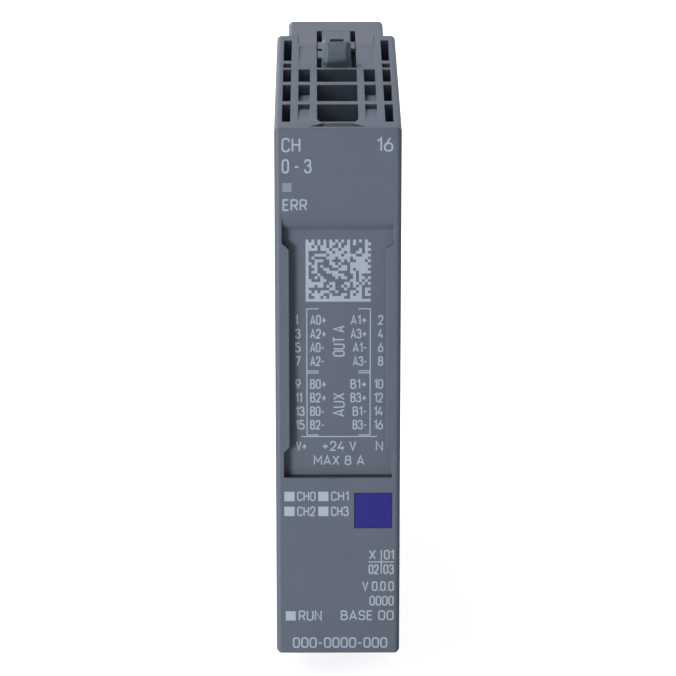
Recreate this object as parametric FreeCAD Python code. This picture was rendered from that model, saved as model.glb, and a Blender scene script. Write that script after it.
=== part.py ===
"""Slim plug-in input/output module of an industrial controller, in millimetres.

Frame: X across the module, Y rearward, Z up. The origin is the centre of the seating plane, the rear
face of the wide front shell. Depths in this file count rearward from the front face.
"""
import FreeCAD, Part
from collections import namedtuple
import math
import os

# --- Front shell ---------------------------------------------------------------------------------
SHELL_WIDTH = 15.0
SHELL_HEIGHT = 66.8
SHELL_DEPTH = 42.6
SIDE_WALL = 0.9
FACE_THICKNESS = 2.0
GRILLE_THICKNESS = 3.0
REAR_WALL = 1.0
EDGE_RADIUS = 0.6

# --- Grille in the top and bottom walls, columns counted outward from the middle ------------------
CENTRE_SLOT_HALF = 2.45
RIB_WIDTH = 0.85
POCKET_WIDTH = 1.4
POCKET_RAMP_DROP = 1.85
OUTER_SLOT_WIDTH = 1.0
SILL_DEPTH = 2.6
ROW_SHARES = (0.1784, 0.1737, 0.1362)
RAIL_LENGTHS = (1.4, 1.4, 0.8)
OPENING_CHAMFER_WIDTH = 0.35
OPENING_CHAMFER_LENGTH = 1.1
FIRST_REAR_SLOT_LENGTH = 2.0
REAR_SLOT_RIB_LENGTH = 1.3
REAR_RAIL_LENGTH = 2.3
BAY_RAMP_DROP = 0.35
NOTCH_RIM = 0.5
NOTCH_END_DEPTH = 2.1
NOTCH_WALL_FOOT_DEPTH = 1.8
NOTCH_DROP = 0.55
NOTCH_OUTER_HALF = 3.4
NOTCH_INNER_HALF = 1.65

# --- Label recess in the front face, measured from the top and bottom edges -----------------------
RECESS_DEPTH = 1.1
RECESS_TOP_DROP = 10.6
RECESS_RAMP_LENGTH = 2.2
RECESS_BOTTOM_RISE = 22.96
RECESS_SIDE_LAND = 0.85
RECESS_NARROW_LAND = 1.68
RECESS_FOOT_LAND = 1.0
RECESS_HEAD_LENGTH = 1.4
RECESS_TAPER_LENGTH = 0.75
RECESS_FOOT_LENGTH = 3.2
RECESS_GROOVE_HEIGHT = 0.45
RECESS_GROOVE_DEPTH = 0.55

# --- Colour plate and light windows, heights counted up from the bottom edge ---------------------
PLATE_SIZE = 4.5
PLATE_THICKNESS = 0.7
PLATE_SIDE_LAND = 0.98
PLATE_CORNER_RADIUS = 0.15
PLATE_CENTRE_RISE = 18.7
PLATE_PEG_RADIUS = 0.45
PLATE_PEG_LENGTH = 1.7
PLATE_PEG_OFFSET = 1.3
DIAGNOSTIC_WINDOW = 1.1
STATUS_WINDOW = 1.23
DIAGNOSTIC_DROP = 7.27
STATUS_INSET = 1.63
STATUS_COLUMN_PITCH = 4.09
DIAGNOSTIC_INSET = 1.48
POWER_INSET = 1.72
CHANNEL_ROW_RISES = (20.55, 18.62)
POWER_ROW_RISE = 4.9
GUIDE_PLATE_DEPTH = 1.8
GUIDE_FOOT_DEPTH = 5.8

# --- Rear housing --------------------------------------------------------------------------------
REAR_STEP = 1.45
REAR_BODY_LENGTH = 7.2
PLUG_LENGTH = 8.2
PLUG_STEP = 0.65
PLUG_WALL = 0.8
PLUG_HEIGHT_LAND = 2.9
BORE_HEIGHT_LAND = 3.7
NOSE_LENGTH = 4.2
NOSE_LEAD_LENGTH = 1.0
REAR_CHAMFER = 0.4
HOOK_LENGTH = 1.1
HOOK_HEIGHT = 8.0
HOOK_REACH = 0.9
HOOK_SHARE = 0.539
ARM_SLIT = 0.6
GUIDE_RIB_HEIGHT = 0.5
GUIDE_RIB_WIDTH = 1.2
GUIDE_RIB_SHARES = (-0.72, 0.26, 0.72)
GUIDE_RIB_LENGTH = 6.6
BOARD_RAIL_WIDTH = 0.5
BOARD_RAIL_HEIGHT = 1.5
STOP_REACH = 0.6
STOP_LENGTH = 0.8
GRIP_LENGTH = 1.2
GRIP_HEIGHT = 4.0
GRIP_SHARES = (0.2, 0.5)

# --- Latches -------------------------------------------------------------------------------------
TONGUE_SIDE_GAP = 0.65
TONGUE_THICKNESS = 1.4
HEAD_RISE = 3.1
HEAD_LENGTH = 2.15
HEAD_SIDE_GAP = 0.7
HEAD_SHOULDER_RADIUS = 0.5
HEAD_FACET_FOOT_WIDTH = 0.4
HEAD_FACET_TOP_WIDTH = 0.77
HEAD_FACET_FOOT_BACK = 0.35
HEAD_FACET_TOP_BACK = 0.8
HEAD_POCKET_WIDTH = 1.7
HEAD_POCKET_LENGTH = 1.25
HEAD_POCKET_DEPTH = 1.0
HEAD_POCKET_BACK = 0.5
HEAD_EDGE_RISE = 2.0
HEAD_LEAN = 0.25
PIVOT_RADIUS = 1.1
PIVOT_DROP = 1.9
PIVOT_BEHIND_SEAT = 3.6
NECK_HALF_THICKNESS = 0.5
EAR_LENGTH_AHEAD = 1.8
EAR_LENGTH_BEHIND = 1.5
EAR_THICKNESS = 0.6
EAR_DROP = 0.1
LUG_GAP = 1.2
LUG_LENGTH = 3.2

# --- Circuit board and its parts -----------------------------------------------------------------
BOARD_THICKNESS = 1.0
BOARD_FRONT_DEPTH = 4.0
BOARD_BEHIND_SEAT = 4.9
LED_THICKNESS = 0.8
LED_LENGTH = 1.6
LED_HEIGHT = 1.2
BOARD_CORNER_RADIUS = 0.8

# --- Electronics: sizes along the depth, up and off the board, and sites as shares of the board ----
Chip = namedtuple("Chip", "length height thickness leads")
Box = namedtuple("Box", "length height thickness")

LEAD_STAND_OFF = 0.1
LEAD_REACH = 0.8
LEAD_SHARE = 0.4
LEAD_THICKNESS_SHARE = 0.33
CONTROLLER_CHIP = Chip(9.0, 9.0, 1.2, 12)
CONTROLLER_SITE = (0.24, 0.10)
BUS_CHIP = Chip(6.0, 5.0, 1.0, 8)
BUS_CHIP_SITE = (0.66, -0.16)
CONVERTER_CHIP = Chip(5.0, 3.9, 1.5, 4)
CONVERTER_SITE = (0.24, -0.34)
DRIVER_CHIP = Chip(5.0, 4.4, 1.1, 8)
DRIVER_SITES = ((0.52, 0.16), (0.52, 0.38), (0.52, 0.60), (0.52, 0.82))
ISOLATOR_CHIP = Chip(5.2, 7.0, 2.3, 8)
ISOLATOR_SITES = ((0.76, 0.30), (0.76, 0.70))
CERAMIC_CAPACITOR = Box(1.6, 0.9, 0.9)
CERAMIC_COLUMNS = (0.25, 0.40, 0.55)
CERAMIC_ROWS = (-0.7, -0.25, 0.2, 0.65)
CHIP_RESISTOR = Box(1.6, 0.8, 0.45)
RESISTOR_COLUMNS = (0.17, 0.33, 0.48, 0.63)
RESISTOR_ROWS = (-0.5, -0.05, 0.4, 0.85)
FUSE = Box(6.1, 2.5, 2.5)
FUSE_SITE = (0.48, -0.86)
SUPPRESSOR = Box(4.6, 3.6, 2.3)
SUPPRESSOR_SITE = (0.48, -0.66)
OSCILLATOR = Box(2.5, 3.2, 0.8)
OSCILLATOR_SITE = (0.44, -0.10)
INDUCTOR = Box(6.0, 6.0, 3.0)
INDUCTOR_SITE = (0.45, -0.42)
INDUCTOR_CHAMFER = 0.9
CAN_BASE = Box(5.2, 5.2, 0.8)
CAN_SITES = ((0.28, -0.84), (0.28, -0.60))
CAN_RADIUS = 2.5
CAN_LENGTH = 5.4
CAN_SINK = 0.3
TRANSFORMER_SITE = (0.70, -0.66)
TRANSFORMER_SIZE = 9.0
TRANSFORMER_THICKNESS = 6.4
WINDING_RADIUS = 3.0
CORE_LEG_RADIUS = 1.5
CORE_PLATE = 1.3
CORE_SIDE_LEG = 1.2

# --- Contacts ------------------------------------------------------------------------------------
CONTACT_ROWS = 8
CONTACT_INSET = 1.6
BLADE_THICKNESS = 0.6
BLADE_HEIGHT = 1.6
BLADE_RECESS = 0.6
TAIL_REACH = 2.0
TAIL_STEP = 1.4
TAIL_HEIGHT = 0.8
SUPPLY_BLADE_HEIGHT = 2.4
CARRIER_THICKNESS = 4.0
CARRIER_BEHIND_SEAT = 5.4
SUPPLY_ROOM = 4.6
BUS_HEIGHT = 10.4
BUS_WIDTH = 6.4
BUS_LENGTH = 7.6
BUS_WALL = 0.8
BUS_PIN = 0.44
BUS_PITCH = 1.27
BUS_PINS_PER_COLUMN = 6
BUS_PIN_REACH = 1.6
BUS_PIN_STEP = 1.2
BUS_PIN_RECESS = 1.0
BUS_FLOOR = 2.2
FLANGE_THICKNESS = 1.5
CODING_SIZE = 6.8
CODING_BORE = 4.2
CODING_LENGTH = 8.6
KEY_LENGTH = 7.8
KEY_SLOT = 1.2
PLUG_GAP = 1.2

# --- Clearances ----------------------------------------------------------------------------------
SEAT_GAP = 0.05
PIVOT_CLEARANCE = 0.04
LATCH_GAP = 0.1
HEAD_GAP = 0.3
SLIDE_CLEARANCE = 0.1
BOARD_GAP = 0.3
SPIGOT_GAP = 0.1
OVERCUT = 1.0
EDGE_TOLERANCE = 0.005
PARALLEL = 0.999

# --- Derived planes ------------------------------------------------------------------------------
HALF_WIDTH = SHELL_WIDTH / 2
TOP = SHELL_HEIGHT / 2
CAVITY_HALF_WIDTH = HALF_WIDTH - SIDE_WALL
CAVITY_TOP = TOP - GRILLE_THICKNESS
REAR_HALF_WIDTH = HALF_WIDTH - REAR_STEP
SPIGOT_HALF_WIDTH = REAR_HALF_WIDTH - PLUG_STEP
BORE_HALF_WIDTH = SPIGOT_HALF_WIDTH - PLUG_WALL
BORE_TOP = TOP - BORE_HEIGHT_LAND
PLUG_TOP = TOP - PLUG_HEIGHT_LAND
PLUG_START = SHELL_DEPTH + REAR_BODY_LENGTH
REAR_END = PLUG_START + PLUG_LENGTH
NOSE_START = SHELL_DEPTH - NOSE_LENGTH
SPIGOT_TOP = CAVITY_TOP - SEAT_GAP
ROW_LENGTHS = tuple(share * SHELL_DEPTH for share in ROW_SHARES)
BAY_START = SILL_DEPTH + sum(ROW_LENGTHS) + sum(RAIL_LENGTHS)
POCKET_INNER = CENTRE_SLOT_HALF + RIB_WIDTH
POCKET_OUTER = POCKET_INNER + POCKET_WIDTH
NOSE_HALF_WIDTH = POCKET_OUTER + SEAT_GAP
LEFT_COLUMN_X = -HALF_WIDTH + STATUS_INSET
INNER_COLUMN_X = LEFT_COLUMN_X + STATUS_COLUMN_PITCH
DIAGNOSTIC_X = -HALF_WIDTH + DIAGNOSTIC_INSET
POWER_X = -HALF_WIDTH + POWER_INSET
PLATE_CENTRE_X = HALF_WIDTH - PLATE_SIDE_LAND - PLATE_SIZE / 2
HOOK_CENTRE_Z = HOOK_SHARE * TOP
TONGUE_HALF_WIDTH = CENTRE_SLOT_HALF - TONGUE_SIDE_GAP
HEAD_HALF_WIDTH = CENTRE_SLOT_HALF - HEAD_SIDE_GAP
HEAD_FACET_FOOT_HALF = HEAD_HALF_WIDTH - HEAD_FACET_FOOT_WIDTH
HEAD_FACET_TOP_HALF = HEAD_HALF_WIDTH - HEAD_FACET_TOP_WIDTH
OUTER_SLOT_OUTER = CAVITY_HALF_WIDTH
OUTER_SLOT_INNER = OUTER_SLOT_OUTER - OUTER_SLOT_WIDTH
PIVOT_DEPTH = SHELL_DEPTH + PIVOT_BEHIND_SEAT
PIVOT_HEIGHT = TOP - PIVOT_DROP
TONGUE_END = PIVOT_DEPTH - PIVOT_RADIUS - PIVOT_CLEARANCE - LATCH_GAP
BOARD_LEFT_X = -BORE_HALF_WIDTH + BOARD_GAP
BOARD_RIGHT_X = BOARD_LEFT_X + BOARD_THICKNESS
BOARD_END_DEPTH = SHELL_DEPTH + BOARD_BEHIND_SEAT
BOARD_TOP = BORE_TOP - BOARD_GAP
CONTACT_COLUMN_X = BORE_HALF_WIDTH - CONTACT_INSET
CARRIER_START = SHELL_DEPTH + CARRIER_BEHIND_SEAT
CARRIER_END = CARRIER_START + CARRIER_THICKNESS
BLADE_END = REAR_END - BLADE_RECESS
BUS_LOW = -BORE_TOP + PLUG_GAP
CODING_LOW = BUS_LOW + BUS_HEIGHT + PLUG_GAP
SUPPLY_Z = CODING_LOW + CODING_SIZE + PLUG_GAP + SUPPLY_ROOM / 2
FIELD_LOW = SUPPLY_Z + SUPPLY_ROOM / 2
FIELD_HIGH = BORE_TOP - SEAT_GAP
CONTACT_PITCH = (FIELD_HIGH - FIELD_LOW) / CONTACT_ROWS


def vector(x, y, z):
    """Return a FreeCAD vector."""
    return FreeCAD.Vector(x, y, z)


def block(x_range, depth_range, z_range):
    """Return a box between two x, two depths behind the front face and two heights."""
    x0, x1 = sorted(x_range)
    d0, d1 = sorted(depth_range)
    z0, z1 = sorted(z_range)
    return Part.makeBox(x1 - x0, d1 - d0, z1 - z0, vector(x0, d0 - SHELL_DEPTH, z0))


def centred(half_x, depth_range, z_range):
    """Return a box that is centred on X."""
    return block((-half_x, half_x), depth_range, z_range)


def fuse(shapes):
    """Join shapes that touch or overlap into one and drop the seams."""
    return shapes[0].multiFuse(shapes[1:]).removeSplitter()


def cut(shape, tools):
    """Cut each tool from the shape."""
    return shape.cut(tools) if tools else shape


def mirrored(shape, normal):
    """Return the shape's mirror image in the plane through the origin with this normal."""
    return shape.mirror(vector(0, 0, 0), normal)


def both_sides(shapes):
    """Return shapes and their images across the middle plane X = 0."""
    return list(shapes) + [mirrored(shape, vector(1, 0, 0)) for shape in shapes]


def top_and_bottom(shapes):
    """Return shapes and their images across the middle plane Z = 0."""
    return list(shapes) + [mirrored(shape, vector(0, 0, 1)) for shape in shapes]


def prism(points, direction):
    """Extrude the closed polygon through the points along the direction."""
    wire = Part.makePolygon(points + points[:1])
    return Part.Face(wire).extrude(direction)


def face_prism(outline, depth_start, depth_end):
    """Extrude an (x, z) outline rearward from one depth to another."""
    points = [vector(x, depth_start - SHELL_DEPTH, z) for x, z in outline]
    return prism(points, vector(0, depth_end - depth_start, 0))


def side_prism(profile, x_start, x_end):
    """Extrude a (depth, z) profile across X."""
    points = [vector(x_start, depth - SHELL_DEPTH, z) for depth, z in profile]
    return prism(points, vector(x_end - x_start, 0, 0))


def top_prism(outline, z_start, z_end):
    """Extrude an (x, depth) outline upward."""
    points = [vector(x, depth - SHELL_DEPTH, z_start) for x, depth in outline]
    return prism(points, vector(0, 0, z_end - z_start))


def cross_rod(radius, half_length, depth, z):
    """Return a round rod that lies across X, centred on X."""
    start = vector(-half_length, depth - SHELL_DEPTH, z)
    return Part.makeCylinder(radius, 2 * half_length, start, vector(1, 0, 0))


def rounded(shape, radius, wanted):
    """Fillet the edges that the test picks."""
    edges = [edge for edge in shape.Edges if wanted(edge)]
    return shape.makeFillet(radius, edges)


def runs_along(edge, axis):
    """Tell whether a straight edge lies along the axis."""
    if len(edge.Vertexes) != 2:
        return False
    along = edge.Vertexes[1].Point.sub(edge.Vertexes[0].Point)
    return along.Length > 0 and abs(along.dot(axis)) / along.Length > PARALLEL


# --- Front housing -------------------------------------------------------------------------------
def shell_outside():
    """Return the outer block of the front shell with rounded long and front side edges."""
    body = centred(HALF_WIDTH, (0, SHELL_DEPTH), (-TOP, TOP))
    front = -SHELL_DEPTH

    def soft_edge(edge):
        if runs_along(edge, vector(0, 1, 0)):
            return True
        at_front = abs(edge.CenterOfMass.y - front) < SEAT_GAP
        return at_front and runs_along(edge, vector(0, 0, 1))

    return rounded(body, EDGE_RADIUS, soft_edge)


def grille_rows():
    """Yield the start and end depth of each grille row, from the front."""
    start = SILL_DEPTH
    for length, rail in zip(ROW_LENGTHS, RAIL_LENGTHS):
        yield start, start + length
        start += length + rail


def ramp_drop(depth):
    """Return how far the pockets' shared sloping floor lies below the top surface at a depth."""
    return POCKET_RAMP_DROP * (depth - SILL_DEPTH) / (BAY_START - RAIL_LENGTHS[-1] - SILL_DEPTH)


def ramp_cutter(x_range, depth_range, drops):
    """Return a cutter whose floor falls from the first drop below the surface to the second."""
    start, end = depth_range
    first, last = drops
    above = TOP + OVERCUT
    profile = [(start, above), (end, above), (end, TOP - last), (start, TOP - first)]
    return side_prism(profile, *x_range)


def grille_pocket(start, end):
    """Return the cutter of one pocket, cut down to the sloping floor that all the rows share."""
    drops = (ramp_drop(start) - SEAT_GAP / 2, ramp_drop(end))
    return ramp_cutter((POCKET_INNER, POCKET_OUTER), (start, end), drops)


def bay_ramp():
    """Return the cutter of the shallow ramp beside the latch bay, down to the nose plate."""
    x_range = (CENTRE_SLOT_HALF - SEAT_GAP, POCKET_OUTER)
    return ramp_cutter(x_range, (BAY_START, NOSE_START), (0, BAY_RAMP_DROP))


def centre_opening(start, end, first):
    """Return the cutter of a centre opening, the first one with chamfered front corners."""
    half = CENTRE_SLOT_HALF
    if not first:
        return centred(half, (start, end), (CAVITY_TOP - OVERCUT, TOP + OVERCUT))
    narrow = half - OPENING_CHAMFER_WIDTH
    corner = start + OPENING_CHAMFER_LENGTH
    outline = [(-half, end), (-half, corner), (-narrow, start), (narrow, start), (half, corner), (half, end)]
    return top_prism(outline, CAVITY_TOP - OVERCUT, TOP + OVERCUT)


def outer_slot(start, end):
    """Return the cutter of a narrow slot beside the side wall."""
    return block((OUTER_SLOT_INNER, OUTER_SLOT_OUTER), (start, end), (CAVITY_TOP - OVERCUT, TOP + OVERCUT))


def sill_notch():
    """Return the cutter of the finger notch in the sill, behind its thin front rim."""
    profile = [
        (NOTCH_RIM, TOP + OVERCUT),
        (NOTCH_END_DEPTH, TOP + OVERCUT),
        (NOTCH_END_DEPTH, TOP),
        (NOTCH_WALL_FOOT_DEPTH, TOP - NOTCH_DROP),
        (NOTCH_RIM, TOP - NOTCH_DROP),
    ]
    slope = side_prism(profile, -NOTCH_OUTER_HALF, NOTCH_OUTER_HALF)
    outline = [
        (-NOTCH_OUTER_HALF, NOTCH_RIM),
        (-NOTCH_INNER_HALF, NOTCH_END_DEPTH),
        (NOTCH_INNER_HALF, NOTCH_END_DEPTH),
        (NOTCH_OUTER_HALF, NOTCH_RIM),
    ]
    return slope.common(top_prism(outline, TOP - OVERCUT, TOP + 2 * OVERCUT))


def grille_cutters():
    """Return every cutter of the top wall."""
    cutters = []
    for index, (start, end) in enumerate(grille_rows()):
        cutters.append(centre_opening(start, end, index == 0))
        cutters += both_sides([grille_pocket(start, end), outer_slot(start, end)])
    cutters.append(centre_opening(BAY_START, NOSE_START + SEAT_GAP, False))
    first_end = BAY_START + FIRST_REAR_SLOT_LENGTH
    cutters += both_sides([
        bay_ramp(),
        outer_slot(BAY_START, first_end),
        outer_slot(first_end + REAR_SLOT_RIB_LENGTH, SHELL_DEPTH - REAR_RAIL_LENGTH),
    ])
    nose_depths = (NOSE_START - SEAT_GAP, SHELL_DEPTH + OVERCUT)
    cutters.append(centred(NOSE_HALF_WIDTH + SEAT_GAP, nose_depths, (CAVITY_TOP - OVERCUT, TOP + OVERCUT)))
    cutters.append(sill_notch())
    return cutters


def recess_outline():
    """Return the (x, z) outline of the label recess floor."""
    wide = HALF_WIDTH - RECESS_SIDE_LAND
    narrow = HALF_WIDTH - RECESS_NARROW_LAND
    foot = HALF_WIDTH - RECESS_FOOT_LAND
    z_top = TOP - RECESS_TOP_DROP - RECESS_RAMP_LENGTH
    z_head = z_top - RECESS_HEAD_LENGTH
    z_low = -TOP + RECESS_BOTTOM_RISE
    z_foot = z_low + RECESS_FOOT_LENGTH
    right = [
        (wide, z_top),
        (wide, z_head),
        (narrow, z_head - RECESS_TAPER_LENGTH),
        (narrow, z_foot + RECESS_TAPER_LENGTH),
        (foot, z_foot),
        (foot, z_low),
    ]
    return right + [(-x, z) for x, z in reversed(right)]


def recess_ramp(half_width, z_edge, z_ramp):
    """Return the cutter of the recess's head, an arc that leaves the face without a crease."""
    length = z_edge - z_ramp
    radius = (length ** 2 + RECESS_DEPTH ** 2) / (2 * RECESS_DEPTH)
    face = -SHELL_DEPTH
    centre = face + radius
    half_angle = math.asin(length / radius) / 2
    start = vector(-half_width, face, z_edge)
    middle_y = centre - radius * math.cos(half_angle)
    middle = vector(-half_width, middle_y, z_edge - radius * math.sin(half_angle))
    end = vector(-half_width, face + RECESS_DEPTH, z_ramp)
    low = vector(-half_width, face - OVERCUT, z_ramp)
    high = vector(-half_width, face - OVERCUT, z_edge)
    arc = Part.Arc(start, middle, end).toShape()
    sides = [Part.makeLine(end, low), Part.makeLine(low, high), Part.makeLine(high, start)]
    return Part.Face(Part.Wire([arc] + sides)).extrude(vector(2 * half_width, 0, 0))


def recess_cutters():
    """Return the cutters of the label recess, its curved head and the groove at its foot."""
    wide = HALF_WIDTH - RECESS_SIDE_LAND
    foot = HALF_WIDTH - RECESS_FOOT_LAND
    z_edge = TOP - RECESS_TOP_DROP
    z_ramp = z_edge - RECESS_RAMP_LENGTH
    z_low = -TOP + RECESS_BOTTOM_RISE
    floor = face_prism(recess_outline(), -OVERCUT, RECESS_DEPTH)
    ramp = recess_ramp(wide, z_edge, z_ramp)
    groove_depths = (RECESS_DEPTH - RECESS_GROOVE_DEPTH, RECESS_DEPTH)
    groove = centred(foot, groove_depths, (z_low - RECESS_GROOVE_HEIGHT, z_low + SEAT_GAP))
    return [floor, ramp, groove]


def window_sites():
    """Return (centre x, centre z, size) of each light window in the face."""
    sites = [(DIAGNOSTIC_X, TOP - DIAGNOSTIC_DROP, DIAGNOSTIC_WINDOW)]
    for rise in CHANNEL_ROW_RISES:
        for x in (LEFT_COLUMN_X, INNER_COLUMN_X):
            sites.append((x, -TOP + rise, STATUS_WINDOW))
    sites.append((POWER_X, -TOP + POWER_ROW_RISE, STATUS_WINDOW))
    return sites


def window_block(site, depth_range):
    """Return a square prism behind a light window."""
    x, z, size = site
    half = size / 2
    return block((x - half, x + half), depth_range, (z - half, z + half))


def plate_cutters():
    """Return the seat and the peg holes of the colour plate."""
    z = -TOP + PLATE_CENTRE_RISE
    half = PLATE_SIZE / 2 + SEAT_GAP
    x_range = (PLATE_CENTRE_X - half, PLATE_CENTRE_X + half)
    seat = block(x_range, (-OVERCUT, PLATE_THICKNESS + SEAT_GAP), (z - half, z + half))
    return [seat] + plate_pegs(SEAT_GAP, FACE_THICKNESS + OVERCUT)


def plate_pegs(clearance, end_depth):
    """Return the colour plate's two pegs, or with clearance the cutters of their holes."""
    pegs = []
    for offset in (-PLATE_PEG_OFFSET, PLATE_PEG_OFFSET):
        z = -TOP + PLATE_CENTRE_RISE + offset
        start = vector(PLATE_CENTRE_X, PLATE_THICKNESS / 2 - SHELL_DEPTH, z)
        length = end_depth - PLATE_THICKNESS / 2
        pegs.append(Part.makeCylinder(PLATE_PEG_RADIUS + clearance, length, start, vector(0, 1, 0)))
    return pegs


def hook_depths():
    """Return the depths between which a snap hook lies, just inside the rear wall."""
    end = SHELL_DEPTH - REAR_WALL - SEAT_GAP
    return end - HOOK_LENGTH, end


def snap_windows():
    """Return the cutters of the side windows that the snap hooks spring into."""
    start, end = hook_depths()
    half = HOOK_HEIGHT / 2 + 2 * SEAT_GAP
    z_range = (HOOK_CENTRE_Z - half, HOOK_CENTRE_Z + half)
    inner = CAVITY_HALF_WIDTH - SEAT_GAP
    window = block((inner, HALF_WIDTH + OVERCUT), (start - 2 * SEAT_GAP, end + SEAT_GAP), z_range)
    return both_sides(top_and_bottom([window]))


def board_grips():
    """Return the short ribs behind the face that hold the board's front edge."""
    reach = (FACE_THICKNESS - SEAT_GAP, BOARD_FRONT_DEPTH + GRIP_LENGTH)
    left = (BOARD_LEFT_X - SEAT_GAP - BOARD_RAIL_WIDTH, BOARD_LEFT_X - SEAT_GAP)
    right = (BOARD_RIGHT_X + SEAT_GAP, BOARD_RIGHT_X + SEAT_GAP + BOARD_RAIL_WIDTH)
    grips = []
    for share in GRIP_SHARES:
        z = share * TOP
        for x_range in (left, right):
            grips.append(block(x_range, reach, (z, z + GRIP_HEIGHT)))
    return grips


def front_housing():
    """Build the front shell."""
    cavity_depths = (FACE_THICKNESS, SHELL_DEPTH - REAR_WALL)
    cavity = centred(CAVITY_HALF_WIDTH, cavity_depths, (-CAVITY_TOP, CAVITY_TOP))
    opening_depths = (SHELL_DEPTH - REAR_WALL - OVERCUT, SHELL_DEPTH + OVERCUT)
    rear_opening = centred(SPIGOT_HALF_WIDTH + SPIGOT_GAP, opening_depths, (-CAVITY_TOP, CAVITY_TOP))
    windows = [window_block(site, (-OVERCUT, FACE_THICKNESS + OVERCUT)) for site in window_sites()]
    shell = cut(shell_outside(), [cavity, rear_opening])
    shell = cut(shell, top_and_bottom(grille_cutters()))
    shell = cut(shell, recess_cutters() + plate_cutters() + windows + snap_windows())
    return fuse([shell] + board_grips())


def colour_code_plate():
    """Build the clip-in colour plate with its two pegs."""
    z = -TOP + PLATE_CENTRE_RISE
    half = PLATE_SIZE / 2
    face = block((PLATE_CENTRE_X - half, PLATE_CENTRE_X + half), (0, PLATE_THICKNESS), (z - half, z + half))
    face = rounded(face, PLATE_CORNER_RADIUS, lambda edge: runs_along(edge, vector(0, 1, 0)))
    return fuse([face] + plate_pegs(0, PLATE_PEG_LENGTH + PLATE_THICKNESS))


# --- Light guides and LEDs -----------------------------------------------------------------------
def guide_foot(site, to_right):
    """Return the inner half of a light guide, which turns over to the lamp on the board."""
    x, z, size = site
    half = size / 2
    if to_right:
        inner = BOARD_RIGHT_X + SEAT_GAP
        x_range = (inner, x + half)
    else:
        inner = BOARD_LEFT_X - SEAT_GAP
        x_range = (x - half, inner)
    return block(x_range, (FACE_THICKNESS + SEAT_GAP, GUIDE_FOOT_DEPTH), (z - half, z + half))


def simple_guide(site):
    """Return a single light guide for a window of the left column."""
    front = window_block(site, (0, FACE_THICKNESS + 2 * SEAT_GAP))
    return fuse([front, guide_foot(site, False)])


def channel_light_guide():
    """Build the four-window guide, whose fingers share one plate behind the face."""
    sites = window_sites()[1:-1]
    half = STATUS_WINDOW / 2
    pieces = [window_block(site, (0, FACE_THICKNESS + 2 * SEAT_GAP)) for site in sites]
    pieces += [guide_foot(site, site[0] == INNER_COLUMN_X) for site in sites]
    z_range = (-TOP + CHANNEL_ROW_RISES[1] - half, -TOP + CHANNEL_ROW_RISES[0] + half)
    depths = (FACE_THICKNESS + SEAT_GAP, FACE_THICKNESS + GUIDE_PLATE_DEPTH)
    pieces.append(block((LEFT_COLUMN_X - half, INNER_COLUMN_X + half), depths, z_range))
    return fuse(pieces)


def lamp(z, on_right):
    """Return a side-view lamp on one face of the board, behind its light guide."""
    depths = (GUIDE_FOOT_DEPTH + SEAT_GAP, GUIDE_FOOT_DEPTH + SEAT_GAP + LED_LENGTH)
    z_range = (z - LED_HEIGHT / 2, z + LED_HEIGHT / 2)
    if on_right:
        return block((BOARD_RIGHT_X, BOARD_RIGHT_X + LED_THICKNESS), depths, z_range)
    return block((BOARD_LEFT_X - LED_THICKNESS, BOARD_LEFT_X), depths, z_range)


def channel_leds():
    """Build the four channel lamps, two on each face of the board."""
    lamps = [lamp(-TOP + rise, on_right) for rise in CHANNEL_ROW_RISES for on_right in (False, True)]
    return Part.makeCompound(lamps)


# --- Rear housing --------------------------------------------------------------------------------
def rear_outside():
    """Return the stepped outside of the rear housing: nose, spigot, body and plug."""
    body = centred(REAR_HALF_WIDTH, (SHELL_DEPTH, PLUG_START), (-TOP, TOP))
    body = rounded(body, EDGE_RADIUS, lambda edge: runs_along(edge, vector(0, 1, 0)))
    plug = centred(SPIGOT_HALF_WIDTH, (PLUG_START - OVERCUT, REAR_END), (-PLUG_TOP, PLUG_TOP))
    rear = REAR_END - SHELL_DEPTH
    rear_edges = [edge for edge in plug.Edges if abs(edge.BoundBox.YMin - rear) < EDGE_TOLERANCE]
    plug = plug.makeChamfer(REAR_CHAMFER, rear_edges)
    front_depths = (NOSE_START, SHELL_DEPTH + OVERCUT)
    spigot = centred(SPIGOT_HALF_WIDTH, front_depths, (-SPIGOT_TOP, SPIGOT_TOP))
    nose_profile = [
        (NOSE_START, BORE_TOP),
        (NOSE_START, TOP - BAY_RAMP_DROP),
        (NOSE_START + NOSE_LEAD_LENGTH, TOP),
        (front_depths[1], TOP),
        (front_depths[1], BORE_TOP),
    ]
    nose = side_prism(nose_profile, -NOSE_HALF_WIDTH, NOSE_HALF_WIDTH)
    return fuse([body, plug, spigot] + top_and_bottom([nose]))


def snap_hook():
    """Return one hook on the spigot, ramped on its leading side."""
    start, end = hook_depths()
    tip = SPIGOT_HALF_WIDTH + HOOK_REACH
    root = SPIGOT_HALF_WIDTH - SEAT_GAP
    ramp_start = SPIGOT_HALF_WIDTH + SPIGOT_GAP
    ramp_end = end - HOOK_LENGTH / 3
    outline = [(root, start), (ramp_start, start), (tip, ramp_end), (tip, end), (root, end)]
    half = HOOK_HEIGHT / 2
    return top_prism(outline, HOOK_CENTRE_Z - half, HOOK_CENTRE_Z + half)


def arm_slits():
    """Return the cutters that free each snap arm along its two long sides."""
    half = HOOK_HEIGHT / 2
    x_range = (BORE_HALF_WIDTH - OVERCUT, SPIGOT_HALF_WIDTH + OVERCUT)
    depths = (NOSE_START - OVERCUT, SHELL_DEPTH - SEAT_GAP)
    upper = block(x_range, depths, (HOOK_CENTRE_Z + half, HOOK_CENTRE_Z + half + ARM_SLIT))
    lower = block(x_range, depths, (HOOK_CENTRE_Z - half - ARM_SLIT, HOOK_CENTRE_Z - half))
    return both_sides(top_and_bottom([upper, lower]))


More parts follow.
